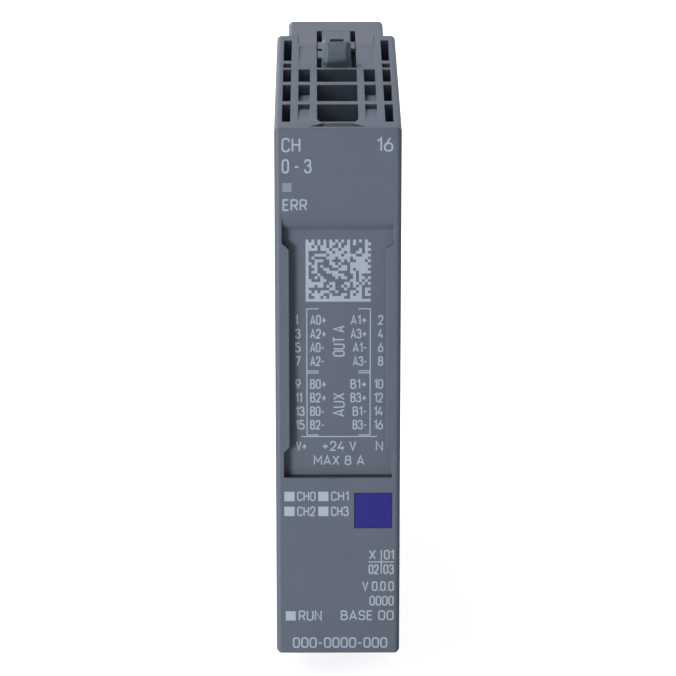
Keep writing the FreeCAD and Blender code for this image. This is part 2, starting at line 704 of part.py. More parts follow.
def latch_socket():
    """Return the cutters of one latch's slot, round socket and mouth."""
    half = CENTRE_SLOT_HALF
    radius = PIVOT_RADIUS + PIVOT_CLEARANCE
    floor = PIVOT_HEIGHT - radius
    slot = centred(half, (NOSE_START - OVERCUT, TONGUE_END + LATCH_GAP), (floor, TOP + OVERCUT))
    socket = cross_rod(radius, half, PIVOT_DEPTH, PIVOT_HEIGHT)
    mouth_low = PIVOT_HEIGHT - NECK_HALF_THICKNESS - HEAD_GAP
    mouth_high = PIVOT_HEIGHT + NECK_HALF_THICKNESS + SEAT_GAP
    mouth = centred(half, (TONGUE_END, PIVOT_DEPTH), (mouth_low, mouth_high))
    return [slot, socket, mouth]


def guide_ribs():
    """Return the raised ribs on the plug's sides that steer it into the base unit."""
    depths = (PLUG_START - SEAT_GAP, PLUG_START + GUIDE_RIB_LENGTH)
    x_range = (SPIGOT_HALF_WIDTH - SEAT_GAP, SPIGOT_HALF_WIDTH + GUIDE_RIB_HEIGHT)
    half = GUIDE_RIB_WIDTH / 2
    centres = [share * PLUG_TOP for share in GUIDE_RIB_SHARES]
    return both_sides([block(x_range, depths, (z - half, z + half)) for z in centres])


def board_rails():
    """Return the rails in the bore that the board's long edges slide between."""
    depths = (NOSE_START, CARRIER_START - TAIL_REACH - TAIL_STEP - SEAT_GAP)
    heights = (BORE_TOP - BOARD_RAIL_HEIGHT, BORE_TOP + SEAT_GAP)
    right = BOARD_RIGHT_X + SEAT_GAP
    rail = block((right, right + BOARD_RAIL_WIDTH), depths, heights)
    return top_and_bottom([rail])


def carrier_stops():
    """Return the step along the bore's right wall that the rear inserts seat against."""
    depths = (CARRIER_START - SEAT_GAP - STOP_LENGTH, CARRIER_START - SEAT_GAP)
    x_range = (BORE_HALF_WIDTH - STOP_REACH, BORE_HALF_WIDTH + SEAT_GAP)
    return [block(x_range, depths, (-BORE_TOP, BORE_TOP))]


def rear_housing():
    """Build the rear shell with its nose plates, spigot, plug shroud and latch sockets."""
    bore = centred(BORE_HALF_WIDTH, (NOSE_START - OVERCUT, REAR_END + OVERCUT), (-BORE_TOP, BORE_TOP))
    outside = fuse([rear_outside()] + both_sides(top_and_bottom([snap_hook()])) + guide_ribs())
    hollow = cut(outside, [bore] + arm_slits() + top_and_bottom(latch_socket()))
    return fuse([hollow] + board_rails() + carrier_stops())


# --- Latches -------------------------------------------------------------------------------------
def latch_head():
    """Return the raised head: faceted front that leans back on top, round shoulders and a pocket."""
    front = BAY_START + HEAD_GAP
    back = front + HEAD_LENGTH
    z_top = TOP + HEAD_RISE
    half = HEAD_HALF_WIDTH
    head = centred(half, (front, back), (TOP - SEAT_GAP, z_top))

    def shoulder(edge):
        along = runs_along(edge, vector(0, 1, 0))
        return along and abs(edge.CenterOfMass.z - z_top) < SEAT_GAP

    head = rounded(head, HEAD_SHOULDER_RADIUS, shoulder)
    beyond = half + OVERCUT
    foot_slope = HEAD_FACET_FOOT_BACK / (half - HEAD_FACET_FOOT_HALF)
    top_slope = HEAD_FACET_TOP_BACK / (half - HEAD_FACET_TOP_HALF)
    levels = (
        (TOP - OVERCUT, HEAD_FACET_FOOT_HALF, foot_slope),
        (z_top + SEAT_GAP, HEAD_FACET_TOP_HALF, top_slope),
    )
    wires = []
    for z, facet_half, slope in levels:
        y_front = front - SHELL_DEPTH
        corners = [
            vector(facet_half, y_front, z),
            vector(beyond, y_front + slope * (beyond - facet_half), z),
            vector(beyond, y_front - OVERCUT, z),
            vector(facet_half, y_front - OVERCUT, z),
        ]
        wires.append(Part.makePolygon(corners + corners[:1]))
    facet = Part.makeLoft(wires, True, True)
    pocket_start = front + HEAD_POCKET_BACK
    pocket = centred(
        HEAD_POCKET_WIDTH / 2,
        (pocket_start, pocket_start + HEAD_POCKET_LENGTH),
        (z_top - HEAD_POCKET_DEPTH, z_top + OVERCUT),
    )
    lean_profile = [
        (front - OVERCUT, TOP + HEAD_EDGE_RISE),
        (front, TOP + HEAD_EDGE_RISE),
        (front + HEAD_LEAN, z_top),
        (front + HEAD_LEAN, z_top + OVERCUT),
        (front - OVERCUT, z_top + OVERCUT),
    ]
    lean = side_prism(lean_profile, -beyond, beyond)
    return cut(head, both_sides([facet]) + [pocket, lean])


def latch():
    """Return the top latch: tongue, head, ears, left lug, neck and pivot barrel in one moulding."""
    front = BAY_START + HEAD_GAP
    under = TOP - TONGUE_THICKNESS
    neck_bottom = PIVOT_HEIGHT - NECK_HALF_THICKNESS
    neck_top = PIVOT_HEIGHT + NECK_HALF_THICKNESS
    tongue = centred(TONGUE_HALF_WIDTH, (front, TONGUE_END), (under, TOP))
    root = centred(TONGUE_HALF_WIDTH, (TONGUE_END - TONGUE_THICKNESS, TONGUE_END), (neck_bottom, TOP))
    neck = centred(TONGUE_HALF_WIDTH, (TONGUE_END - TONGUE_THICKNESS, PIVOT_DEPTH), (neck_bottom, neck_top))
    barrel = cross_rod(PIVOT_RADIUS, CENTRE_SLOT_HALF - SEAT_GAP, PIVOT_DEPTH, PIVOT_HEIGHT)
    ear_depths = (NOSE_START - EAR_LENGTH_AHEAD, NOSE_START + EAR_LENGTH_BEHIND)
    ear_heights = (TOP - EAR_DROP - EAR_THICKNESS, TOP - EAR_DROP)
    ear_half = CENTRE_SLOT_HALF - LATCH_GAP
    ears = centred(ear_half, ear_depths, ear_heights)
    lug_end = ear_depths[0] - LUG_GAP
    lug = block((-ear_half, -TONGUE_HALF_WIDTH + SEAT_GAP), (lug_end - LUG_LENGTH, lug_end), ear_heights)
    return fuse([tongue, root, neck, barrel, ears, lug, latch_head()])


# --- Circuit board and electronics ---------------------------------------------------------------
def board_site(along, up):
    """Return the depth and height at these shares of the board, up from -1 to 1."""
    return BOARD_FRONT_DEPTH + along * (BOARD_END_DEPTH - BOARD_FRONT_DEPTH), up * BOARD_TOP


def on_board(site, box, right=True):
    """Return a box that stands on one face of the board, centred on a board site."""
    depth, z = board_site(*site)
    depths = (depth - box.length / 2, depth + box.length / 2)
    z_range = (z - box.height / 2, z + box.height / 2)
    if right:
        return block((BOARD_RIGHT_X, BOARD_RIGHT_X + box.thickness), depths, z_range)
    return block((BOARD_LEFT_X - box.thickness, BOARD_LEFT_X), depths, z_range)


def circuit_board():
    """Build the board with rounded corners."""
    depths = (BOARD_FRONT_DEPTH, BOARD_END_DEPTH)
    board = block((BOARD_LEFT_X, BOARD_RIGHT_X), depths, (-BOARD_TOP, BOARD_TOP))
    return rounded(board, BOARD_CORNER_RADIUS, lambda edge: runs_along(edge, vector(1, 0, 0)))


def leaded_chip(site, chip):
    """Return a chip with a row of leads along its top and bottom edges."""
    depth, z = board_site(*site)
    start = depth - chip.length / 2
    body_x = (BOARD_RIGHT_X + LEAD_STAND_OFF, BOARD_RIGHT_X + chip.thickness)
    body = block(body_x, (start, start + chip.length), (z - chip.height / 2, z + chip.height / 2))
    lead_x = (BOARD_RIGHT_X, BOARD_RIGHT_X + LEAD_THICKNESS_SHARE * chip.thickness)
    pieces = [body]
    pitch = chip.length / chip.leads
    half_lead = LEAD_SHARE * pitch / 2
    for index in range(chip.leads):
        centre = start + (index + 0.5) * pitch
        for side in (-1, 1):
            edge = z + side * chip.height / 2
            depths = (centre - half_lead, centre + half_lead)
            pieces.append(block(lead_x, depths, (edge, edge + side * LEAD_REACH)))
    return fuse(pieces)


def chip_group(sites, chip):
    """Return several equal leaded chips as separate solids."""
    return Part.makeCompound([leaded_chip(site, chip) for site in sites])


def small_parts(columns, rows, box):
    """Return a grid of small two-ended parts on the board's left face."""
    return Part.makeCompound([on_board((along, up), box, False) for along in columns for up in rows])


def transformer_core():
    """Build the ferrite core: two plates, two side legs and a round centre leg."""
    depth, z = board_site(*TRANSFORMER_SITE)
    half = TRANSFORMER_SIZE / 2
    x0 = BOARD_RIGHT_X
    x1 = x0 + TRANSFORMER_THICKNESS
    start, end = depth - half, depth + half
    heights = (z - half, z + half)
    leg_start = vector(x0, depth - SHELL_DEPTH, z)
    pieces = [
        block((x0, x0 + CORE_PLATE), (start, end), heights),
        block((x1 - CORE_PLATE, x1), (start, end), heights),
        block((x0, x1), (start, start + CORE_SIDE_LEG), heights),
        block((x0, x1), (end - CORE_SIDE_LEG, end), heights),
        Part.makeCylinder(CORE_LEG_RADIUS, TRANSFORMER_THICKNESS, leg_start, vector(1, 0, 0)),
    ]
    return fuse(pieces)


def transformer_winding():
    """Build the winding as a ring round the core's centre leg."""
    depth, z = board_site(*TRANSFORMER_SITE)
    start = vector(BOARD_RIGHT_X + CORE_PLATE + SEAT_GAP, depth - SHELL_DEPTH, z)
    length = TRANSFORMER_THICKNESS - 2 * (CORE_PLATE + SEAT_GAP)
    outer = Part.makeCylinder(WINDING_RADIUS, length, start, vector(1, 0, 0))
    inner = Part.makeCylinder(CORE_LEG_RADIUS + SEAT_GAP, length, start, vector(1, 0, 0))
    return outer.cut(inner)


def power_inductor():
    """Build the moulded inductor with chamfered corners."""
    choke = on_board(INDUCTOR_SITE, INDUCTOR)
    corners = [edge for edge in choke.Edges if runs_along(edge, vector(1, 0, 0))]
    return choke.makeChamfer(INDUCTOR_CHAMFER, corners)


def supply_capacitors():
    """Build two can capacitors that stand on the board."""
    cans = []
    for site in CAN_SITES:
        depth, z = board_site(*site)
        start = vector(BOARD_RIGHT_X + CAN_BASE.thickness - CAN_SINK, depth - SHELL_DEPTH, z)
        can = Part.makeCylinder(CAN_RADIUS, CAN_LENGTH, start, vector(1, 0, 0))
        cans.append(fuse([on_board(site, CAN_BASE), can]))
    return Part.makeCompound(cans)


# --- Contacts, bus connector and coding element --------------------------------------------------
def row_height(row):
    """Return the height of a process contact row, from the bottom."""
    return FIELD_LOW + (row + 0.5) * CONTACT_PITCH


def blade(side, z, height, end_depth):
    """Return a contact blade in the left or right column, with its tail to the board."""
    half_t = BLADE_THICKNESS / 2
    x = side * CONTACT_COLUMN_X
    tail_depth = CARRIER_START - TAIL_REACH
    straight_end = tail_depth if side < 0 else tail_depth - TAIL_STEP
    body = block((x - half_t, x + half_t), (straight_end, end_depth), (z - height / 2, z + height / 2))
    if side < 0:
        return body
    bridge_depths = (straight_end, straight_end + BLADE_THICKNESS)
    bridge = block((BOARD_RIGHT_X, x + half_t), bridge_depths, (z - TAIL_HEIGHT / 2, z + TAIL_HEIGHT / 2))
    return fuse([body, bridge])


def process_contacts():
    """Return the contact blades of the process rows, left and right."""
    rows = [row_height(row) for row in range(CONTACT_ROWS)]
    return [blade(side, z, BLADE_HEIGHT, BLADE_END) for z in rows for side in (-1, 1)]


def supply_contacts():
    """Return the two wider supply blades."""
    return [blade(side, SUPPLY_Z, SUPPLY_BLADE_HEIGHT, BLADE_END) for side in (-1, 1)]


def contact_carrier():
    """Build the insulating carrier that holds all the blades."""
    half = BORE_HALF_WIDTH - SEAT_GAP
    low = FIELD_LOW - SUPPLY_ROOM
    carrier = centred(half, (CARRIER_START, CARRIER_END), (low, FIELD_HIGH))
    return cut(carrier, process_contacts() + supply_contacts())


def bus_pins():
    """Return the bus connector's pins, bent over to the board at their inner ends."""
    pins = []
    half = BUS_PIN / 2
    middle = BUS_LOW + BUS_HEIGHT / 2
    for column, x in enumerate((-BUS_PITCH / 2, BUS_PITCH / 2)):
        inner = CARRIER_START - BUS_PIN_REACH - BUS_PIN_STEP * column
        for index in range(BUS_PINS_PER_COLUMN):
            z = middle + (index - (BUS_PINS_PER_COLUMN - 1) / 2) * BUS_PITCH
            z_range = (z - half, z + half)
            pin = block((x - half, x + half), (inner, CARRIER_START + BUS_LENGTH - BUS_PIN_RECESS), z_range)
            tail = block((BOARD_RIGHT_X, x), (inner, inner + BUS_PIN), z_range)
            pins.append(fuse([pin, tail]))
    return pins


def bus_connector():
    """Build the bus connector's insulator: a floor with a shroud round the pins."""
    half = BUS_WIDTH / 2
    heights = (BUS_LOW, BUS_LOW + BUS_HEIGHT)
    body = centred(half, (CARRIER_START, CARRIER_START + BUS_LENGTH), heights)
    flange = centred(BORE_HALF_WIDTH - SEAT_GAP, (CARRIER_START, CARRIER_START + FLANGE_THICKNESS), heights)
    mouth = centred(
        half - BUS_WALL,
        (CARRIER_START + BUS_FLOOR, CARRIER_START + BUS_LENGTH + OVERCUT),
        (heights[0] + BUS_WALL, heights[1] - BUS_WALL),
    )
    return cut(fuse([body, flange]), [mouth] + bus_pins())


def coding_socket():
    """Build the socket of the coding element, with a square blind bore."""
    half = CODING_SIZE / 2
    heights = (CODING_LOW, CODING_LOW + CODING_SIZE)
    middle = sum(heights) / 2
    body = centred(half, (CARRIER_START, CARRIER_START + CODING_LENGTH), heights)
    flange = centred(BORE_HALF_WIDTH - SEAT_GAP, (CARRIER_START, CARRIER_START + FLANGE_THICKNESS), heights)
    bore_half = CODING_BORE / 2
    bore_start = CARRIER_START + CODING_LENGTH - KEY_LENGTH
    bore_depths = (bore_start, CARRIER_START + CODING_LENGTH + OVERCUT)
    bore = centred(bore_half, bore_depths, (middle - bore_half, middle + bore_half))
    return cut(fuse([body, flange]), [bore])


def coding_key():
    """Build the loose coding element: a square post with a keyed slot in its rear face."""
    middle = CODING_LOW + CODING_SIZE / 2
    half = CODING_BORE / 2 - SLIDE_CLEARANCE
    start = CARRIER_START + CODING_LENGTH - KEY_LENGTH + SLIDE_CLEARANCE
    end = start + KEY_LENGTH
    post = centred(half, (start, end), (middle - half, middle + half))
    slot_depths = (end - KEY_LENGTH / 3, end + OVERCUT)
    slot = centred(KEY_SLOT / 2, slot_depths, (middle - half / 2, middle + half + OVERCUT))
    corner = block((0, half + OVERCUT), slot_depths, (middle - half / 2, middle - half / 2 + KEY_SLOT))
    return cut(post, [slot, corner])


# --- All nodes -----------------------------------------------------------------------------------
def build_nodes():
    """Return each node's name and shape."""
    top_latch = latch()
    sites = window_sites()
    return {
        "front_housing": front_housing(),
        "rear_housing": rear_housing(),
        "top_release_latch": top_latch,
        "bottom_release_latch": mirrored(top_latch, vector(0, 0, 1)),
        "colour_code_plate": colour_code_plate(),
        "diagnostic_light_guide": simple_guide(sites[0]),
        "channel_light_guide": channel_light_guide(),
        "power_light_guide": simple_guide(sites[-1]),
        "circuit_board": circuit_board(),
        "diagnostic_led": lamp(TOP - DIAGNOSTIC_DROP, False),
        "channel_leds": channel_leds(),
        "power_led": lamp(-TOP + POWER_ROW_RISE, False),
        "controller_chip": leaded_chip(CONTROLLER_SITE, CONTROLLER_CHIP),
        "bus_interface_chip": leaded_chip(BUS_CHIP_SITE, BUS_CHIP),
        "converter_chip": leaded_chip(CONVERTER_SITE, CONVERTER_CHIP),
        "output_driver_chips": chip_group(DRIVER_SITES, DRIVER_CHIP),
        "transformer_core": transformer_core(),
        "transformer_winding": transformer_winding(),
        "signal_isolators": chip_group(ISOLATOR_SITES, ISOLATOR_CHIP),
        "power_inductor": power_inductor(),
        "supply_capacitors": supply_capacitors(),
        "ceramic_capacitors": small_parts(CERAMIC_COLUMNS, CERAMIC_ROWS, CERAMIC_CAPACITOR),
        "chip_resistors": small_parts(RESISTOR_COLUMNS, RESISTOR_ROWS, CHIP_RESISTOR),
        "input_fuse": on_board(FUSE_SITE, FUSE),
        "suppressor_diode": on_board(SUPPRESSOR_SITE, SUPPRESSOR),
        "crystal_oscillator": on_board(OSCILLATOR_SITE, OSCILLATOR),
        "contact_carrier": contact_carrier(),
        "process_contacts": Part.makeCompound(process_contacts()),
        "supply_contacts": Part.makeCompound(supply_contacts()),
        "bus_connector": bus_connector(),
        "bus_contacts": Part.makeCompound(bus_pins()),
        "coding_socket": coding_socket(),
        "coding_key": coding_key(),
    }


def main():
    """Write one STEP file per node."""
    os.makedirs("parts", exist_ok=True)
    for name, shape in build_nodes().items():
        if not shape.isValid() or not shape.Solids:
            raise RuntimeError(name + " is not a valid solid")
        shape.exportStep(os.path.join("parts", name + ".step"))
        print(name, len(shape.Solids), "solids", round(shape.Volume, 2), "mm3")


main()
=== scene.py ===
"""Studio scene of a slim plug-in controller module: finishes, printed face, light and camera."""

import logging
import math
import random
from dataclasses import dataclass
from enum import Enum
from typing import Iterable

import bmesh
import bpy
from mathutils import Matrix, Vector


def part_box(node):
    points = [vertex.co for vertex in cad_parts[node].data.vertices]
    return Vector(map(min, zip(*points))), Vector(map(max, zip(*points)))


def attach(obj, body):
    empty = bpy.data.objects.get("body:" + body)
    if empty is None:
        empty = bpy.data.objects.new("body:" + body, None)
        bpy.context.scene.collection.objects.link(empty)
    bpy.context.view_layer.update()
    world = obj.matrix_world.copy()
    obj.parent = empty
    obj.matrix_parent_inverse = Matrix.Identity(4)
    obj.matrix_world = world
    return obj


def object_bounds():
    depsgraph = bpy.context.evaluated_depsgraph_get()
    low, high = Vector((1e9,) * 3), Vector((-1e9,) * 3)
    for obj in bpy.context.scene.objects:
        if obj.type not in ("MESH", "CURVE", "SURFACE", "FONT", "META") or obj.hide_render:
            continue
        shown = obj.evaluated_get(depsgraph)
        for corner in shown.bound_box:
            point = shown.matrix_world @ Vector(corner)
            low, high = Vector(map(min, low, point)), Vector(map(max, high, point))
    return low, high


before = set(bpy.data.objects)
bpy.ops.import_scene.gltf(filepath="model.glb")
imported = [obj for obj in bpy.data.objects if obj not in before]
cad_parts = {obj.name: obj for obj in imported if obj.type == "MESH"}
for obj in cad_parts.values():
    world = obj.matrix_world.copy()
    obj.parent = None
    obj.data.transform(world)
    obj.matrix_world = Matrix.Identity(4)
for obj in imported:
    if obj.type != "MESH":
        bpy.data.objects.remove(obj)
CAD_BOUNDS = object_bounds()

MM = 0.001
Colour = tuple[float, float, float]
Point = tuple[float, float, float]
log = logging.getLogger("module_scene")

DISPLAY_MAX = 255
DISPLAY_TOE = 0.04045
DISPLAY_TOE_SLOPE = 12.92
DISPLAY_OFFSET = 0.055
DISPLAY_POWER = 2.4


def linear(red: int, green: int, blue: int) -> Colour:
    """Turn a display colour of 0 to 255 into the linear colour that shaders use.

    Args:
        red: Display red.
        green: Display green.
        blue: Display blue.

    Returns:
        The three linear values.
    """

    def channel(value: float) -> float:
        """Return one channel's linear value."""
        if value <= DISPLAY_TOE:
            return value / DISPLAY_TOE_SLOPE
        return ((value + DISPLAY_OFFSET) / (1 + DISPLAY_OFFSET)) ** DISPLAY_POWER

    return channel(red / DISPLAY_MAX), channel(green / DISPLAY_MAX), channel(blue / DISPLAY_MAX)


def scaled(colour: Colour, factor: float) -> tuple[float, float, float, float]:
    """Return a colour made lighter or darker, with full alpha.

    Args:
        colour: The linear colour.
        factor: What each channel is multiplied by.

    Returns:
        The four values of a colour socket.
    """
    red, green, blue = (min(1.0, channel * factor) for channel in colour)
    return red, green, blue, 1.0


# --- Shared surface effects ------------------------------------------------------------------------
@dataclass(frozen=True)
class Noise:
    """How fine and how rough a noise texture is."""

    detail: float
    roughness: float


GRAIN_NOISE = Noise(3.0, 0.6)
MOTTLE_NOISE = Noise(4.0, 0.55)
DUST_NOISE = Noise(5.0, 0.7)
DRAWN_NOISE = Noise(2.0, 0.5)
GRAIN_IN_TONE = 0.35
DUST_FROM, DUST_FULL = 0.45, 0.75


class Sockets:
    """Makes the inputs and outputs of a shader node group."""

    def __init__(self, name: str) -> None:
        """Create an empty group with its two end nodes.

        Args:
            name: The group's name.
        """
        self.tree = bpy.data.node_groups.new(name, "ShaderNodeTree")
        self.start = self.tree.nodes.new("NodeGroupInput")
        self.end = self.tree.nodes.new("NodeGroupOutput")

    def take(self, name: str, default: float) -> None:
        """Add a numeric input with its default value."""
        socket = self.tree.interface.new_socket(name, in_out="INPUT", socket_type="NodeSocketFloat")
        socket.default_value = default

    def give(self, name: str) -> None:
        """Add a numeric output."""
        self.tree.interface.new_socket(name, in_out="OUTPUT", socket_type="NodeSocketFloat")

    def node(self, kind: str, **settings: object) -> bpy.types.Node:
        """Add a node and set its plain properties.

        Args:
            kind: Blender's node type.
            **settings: Properties to set on the node.

        Returns:
            The new node.
        """
        made = self.tree.nodes.new(kind)
        for key, value in settings.items():
            setattr(made, key, value)
        return made

    def link(self, source: bpy.types.NodeSocket, target: bpy.types.NodeSocket) -> None:
        """Join an output to an input."""
        self.tree.links.new(source, target)

    def inverse(self, name: str) -> bpy.types.NodeSocket:
        """Return one over an input, so that a size in metres can drive a texture's scale.

        Args:
            name: The input that holds the size.

        Returns:
            The socket with the scale.
        """
        divide = self.node("ShaderNodeMath", operation="DIVIDE")
        divide.inputs[0].default_value = 1.0
        self.link(self.start.outputs[name], divide.inputs[1])
        return divide.outputs[0]

    def noise(self, kind: Noise, size: str, place: bpy.types.NodeSocket) -> bpy.types.NodeSocket:
        """Add a noise texture.

        Args:
            kind: Its detail and roughness.
            size: The input that holds its size in metres.
            place: The coordinates it reads.

        Returns:
            Its value.
        """
        texture = self.node("ShaderNodeTexNoise")
        texture.inputs["Detail"].default_value = kind.detail
        texture.inputs["Roughness"].default_value = kind.roughness
        self.link(place, texture.inputs["Vector"])
        self.link(self.inverse(size), texture.inputs["Scale"])
        return texture.outputs["Fac"]


def moulded_grain_group() -> bpy.types.NodeTree:
    """Build the fine spark-eroded grain and the soft mottling of moulded plastic.

    Returns:
        A group with Height, Tone and Gloss outputs.
    """
    group = Sockets("moulded_grain")
    group.take("Grain Size", 0.16 * MM)
    group.take("Mottle Size", 6.0 * MM)
    for name in ("Height", "Tone", "Gloss"):
        group.give(name)
    place = group.node("ShaderNodeTexCoord").outputs["Object"]
    grain = group.noise(GRAIN_NOISE, "Grain Size", place)
    mottle = group.noise(MOTTLE_NOISE, "Mottle Size", place)
    blend = group.node("ShaderNodeMix", data_type="FLOAT")
    blend.inputs["Factor"].default_value = GRAIN_IN_TONE
    group.link(mottle, blend.inputs["A"])
    group.link(grain, blend.inputs["B"])
    group.link(grain, group.end.inputs["Height"])
    group.link(blend.outputs["Result"], group.end.inputs["Tone"])
    group.link(mottle, group.end.inputs["Gloss"])
    return group.tree


def fine_dust_group() -> bpy.types.NodeTree:
    """Build a mask of fine dust that settles on upward faces.

    Returns:
        A group with one Mask output.
    """
    group = Sockets("fine_dust")
    group.take("Speck Size", 0.5 * MM)
    group.give("Mask")
    place = group.node("ShaderNodeTexCoord")
    specks = group.noise(DUST_NOISE, "Speck Size", place.outputs["Object"])
    gather = group.node("ShaderNodeMapRange")
    gather.inputs["From Min"].default_value = DUST_FROM
    gather.inputs["From Max"].default_value = DUST_FULL
    group.link(specks, gather.inputs["Value"])
    split = group.node("ShaderNodeSeparateXYZ")
    group.link(place.outputs["Normal"], split.inputs[0])
    upward = group.node("ShaderNodeMath", operation="MULTIPLY", use_clamp=True)
    group.link(gather.outputs["Result"], upward.inputs[0])
    group.link(split.outputs["Z"], upward.inputs[1])
    group.link(upward.outputs[0], group.end.inputs["Mask"])
    return group.tree


def drawn_metal_group() -> bpy.types.NodeTree:
    """Build the fine lengthwise lines of rolled or drawn metal.

    Returns:
        A group with Height and Tone outputs.
    """
    group = Sockets("drawn_metal")
    group.take("Line Size", 0.1 * MM)
    group.take("Stretch", 0.04)
    for name in ("Height", "Tone"):
        group.give(name)
    place = group.node("ShaderNodeTexCoord")
    squeeze = group.node("ShaderNodeCombineXYZ")
    squeeze.inputs["X"].default_value = 1.0
    squeeze.inputs["Z"].default_value = 1.0
    group.link(group.start.outputs["Stretch"], squeeze.inputs["Y"])
    scale = group.node("ShaderNodeVectorMath", operation="MULTIPLY")
    group.link(place.outputs["Object"], scale.inputs[0])
    group.link(squeeze.outputs[0], scale.inputs[1])
    lines = group.noise(DRAWN_NOISE, "Line Size", scale.outputs[0])
    group.link(lines, group.end.inputs["Height"])
    group.link(lines, group.end.inputs["Tone"])
    return group.tree


class Effects:
    """Holds the shared groups, each built once."""

    def __init__(self) -> None:
        """Build every group."""
        self.grain = moulded_grain_group()
        self.dust = fine_dust_group()
        self.drawn = drawn_metal_group()


# --- Finishes --------------------------------------------------------------------------------------
NOISE_LOW, NOISE_HIGH = 0.3, 0.7
EDGE_SAMPLES = 8
DUST_COLOUR = linear(168, 170, 176)


class Bench:
    """A new material with its shader, ready to be wired."""

    def __init__(self, name: str) -> None:
        """Create the material.

        Args:
            name: The material's name.
        """
        self.material = bpy.data.materials.new(name)
        self.material.use_nodes = True
        self.nodes = self.material.node_tree.nodes
        self.links = self.material.node_tree.links
        self.shader = next(node for node in self.nodes if node.type == "BSDF_PRINCIPLED")

    def place(self, tree: bpy.types.NodeTree, **sizes: float) -> bpy.types.Node:
        """Put a shared group into the material.

        Args:
            tree: The group.
            **sizes: Input values, with underscores for the blanks in their names.

        Returns:
            The group's node.
        """
        node = self.nodes.new("ShaderNodeGroup")
        node.node_tree = tree
        for key, value in sizes.items():
            node.inputs[key.replace("_", " ")].default_value = value
        return node

    def blend(self, factor: bpy.types.NodeSocket, low: tuple, high: tuple) -> bpy.types.NodeSocket:
        """Mix two colours by a factor that varies over the surface.

        Args:
            factor: The varying factor.
            low: The colour at 0.
            high: The colour at 1.

        Returns:
            The mixed colour's socket.
        """
        mix = self.nodes.new("ShaderNodeMix")
        mix.data_type = "RGBA"
        mix.inputs["A"].default_value = low
        mix.inputs["B"].default_value = high
        self.links.new(factor, mix.inputs["Factor"])
        return mix.outputs["Result"]

    def spread(self, value: bpy.types.NodeSocket, low: float, high: float) -> bpy.types.NodeSocket:
        """Stretch a noise value over a range.

        Args:
            value: The noise.
            low: The result for dark noise.
            high: The result for light noise.

        Returns:
            The stretched value's socket.
        """
        stretch = self.nodes.new("ShaderNodeMapRange")
        stretch.inputs["From Min"].default_value = NOISE_LOW
        stretch.inputs["From Max"].default_value = NOISE_HIGH
        stretch.inputs["To Min"].default_value = low
        stretch.inputs["To Max"].default_value = high
        self.links.new(value, stretch.inputs["Value"])
        return stretch.outputs["Result"]

    def bump(self, height: bpy.types.NodeSocket, depth: float, strength: float, edge: float = 0.0) -> None:
        """Raise the surface by a height map, over edges shaded as if rounded.

        Args:
            height: The height's socket.
            depth: The height of the relief in metres.
            strength: The share of the relief that shows.
            edge: The radius of the rounded look in metres, or 0 for sharp edges.
        """
        node = self.nodes.new("ShaderNodeBump")
        node.inputs["Distance"].default_value = depth
        node.inputs["Strength"].default_value = strength
        self.links.new(height, node.inputs["Height"])
        if edge:
            rounding = self.nodes.new("ShaderNodeBevel")
            rounding.samples = EDGE_SAMPLES
            rounding.inputs["Radius"].default_value = edge
            self.links.new(rounding.outputs["Normal"], node.inputs["Normal"])
        self.links.new(node.outputs["Normal"], self.shader.inputs["Normal"])


@dataclass(frozen=True)
class PlasticFinish:
    """A moulded plastic with a fine grain."""

    name: str
    colour: Colour
    roughness: float = 0.55
    roughness_spread: float = 0.05
    specular: float = 0.4
    grain_size: float = 0.16 * MM
    grain_depth: float = 0.012 * MM
    grain_strength: float = 0.35
    mottle_size: float = 6.0 * MM
    contrast: float = 0.06
    dust: float = 0.0
    coat: float = 0.0
    edge: float = 0.0

    def build(self, effects: Effects) -> bpy.types.Material:
        """Make the material.

        Args:
            effects: The shared groups.

        Returns:
            The material.
        """
        bench = Bench(self.name)
        grain = bench.place(effects.grain, Grain_Size=self.grain_size, Mottle_Size=self.mottle_size)
        tone = bench.spread(grain.outputs["Tone"], 0.0, 1.0)
        dark, light = scaled(self.colour, 1 - self.contrast), scaled(self.colour, 1 + self.contrast)
        colour = bench.blend(tone, dark, light)
        if self.dust:
            colour = self.dusted(bench, effects, colour)
        bench.links.new(colour, bench.shader.inputs["Base Color"])
        low, high = self.roughness - self.roughness_spread, self.roughness + self.roughness_spread
        bench.links.new(bench.spread(grain.outputs["Gloss"], low, high), bench.shader.inputs["Roughness"])
        bench.shader.inputs["Specular IOR Level"].default_value = self.specular
        bench.shader.inputs["Coat Weight"].default_value = self.coat
        bench.bump(grain.outputs["Height"], self.grain_depth, self.grain_strength, self.edge)
        return bench.material

    def dusted(self, bench: Bench, effects: Effects, colour: bpy.types.NodeSocket) -> bpy.types.NodeSocket:
        """Lay pale dust over a colour.

        Args:
            bench: The material under work.
            effects: The shared groups.
            colour: The clean colour's socket.

        Returns:
            The dusty colour's socket.
        """
        dust = bench.place(effects.dust)
        amount = bench.nodes.new("ShaderNodeMath")
        amount.operation = "MULTIPLY"
        amount.inputs[1].default_value = self.dust
        bench.links.new(dust.outputs["Mask"], amount.inputs[0])
        mix = bench.nodes.new("ShaderNodeMix")
        mix.data_type = "RGBA"
        mix.inputs["B"].default_value = scaled(DUST_COLOUR, 1.0)
        bench.links.new(amount.outputs[0], mix.inputs["Factor"])
        bench.links.new(colour, mix.inputs["A"])
        return mix.outputs["Result"]


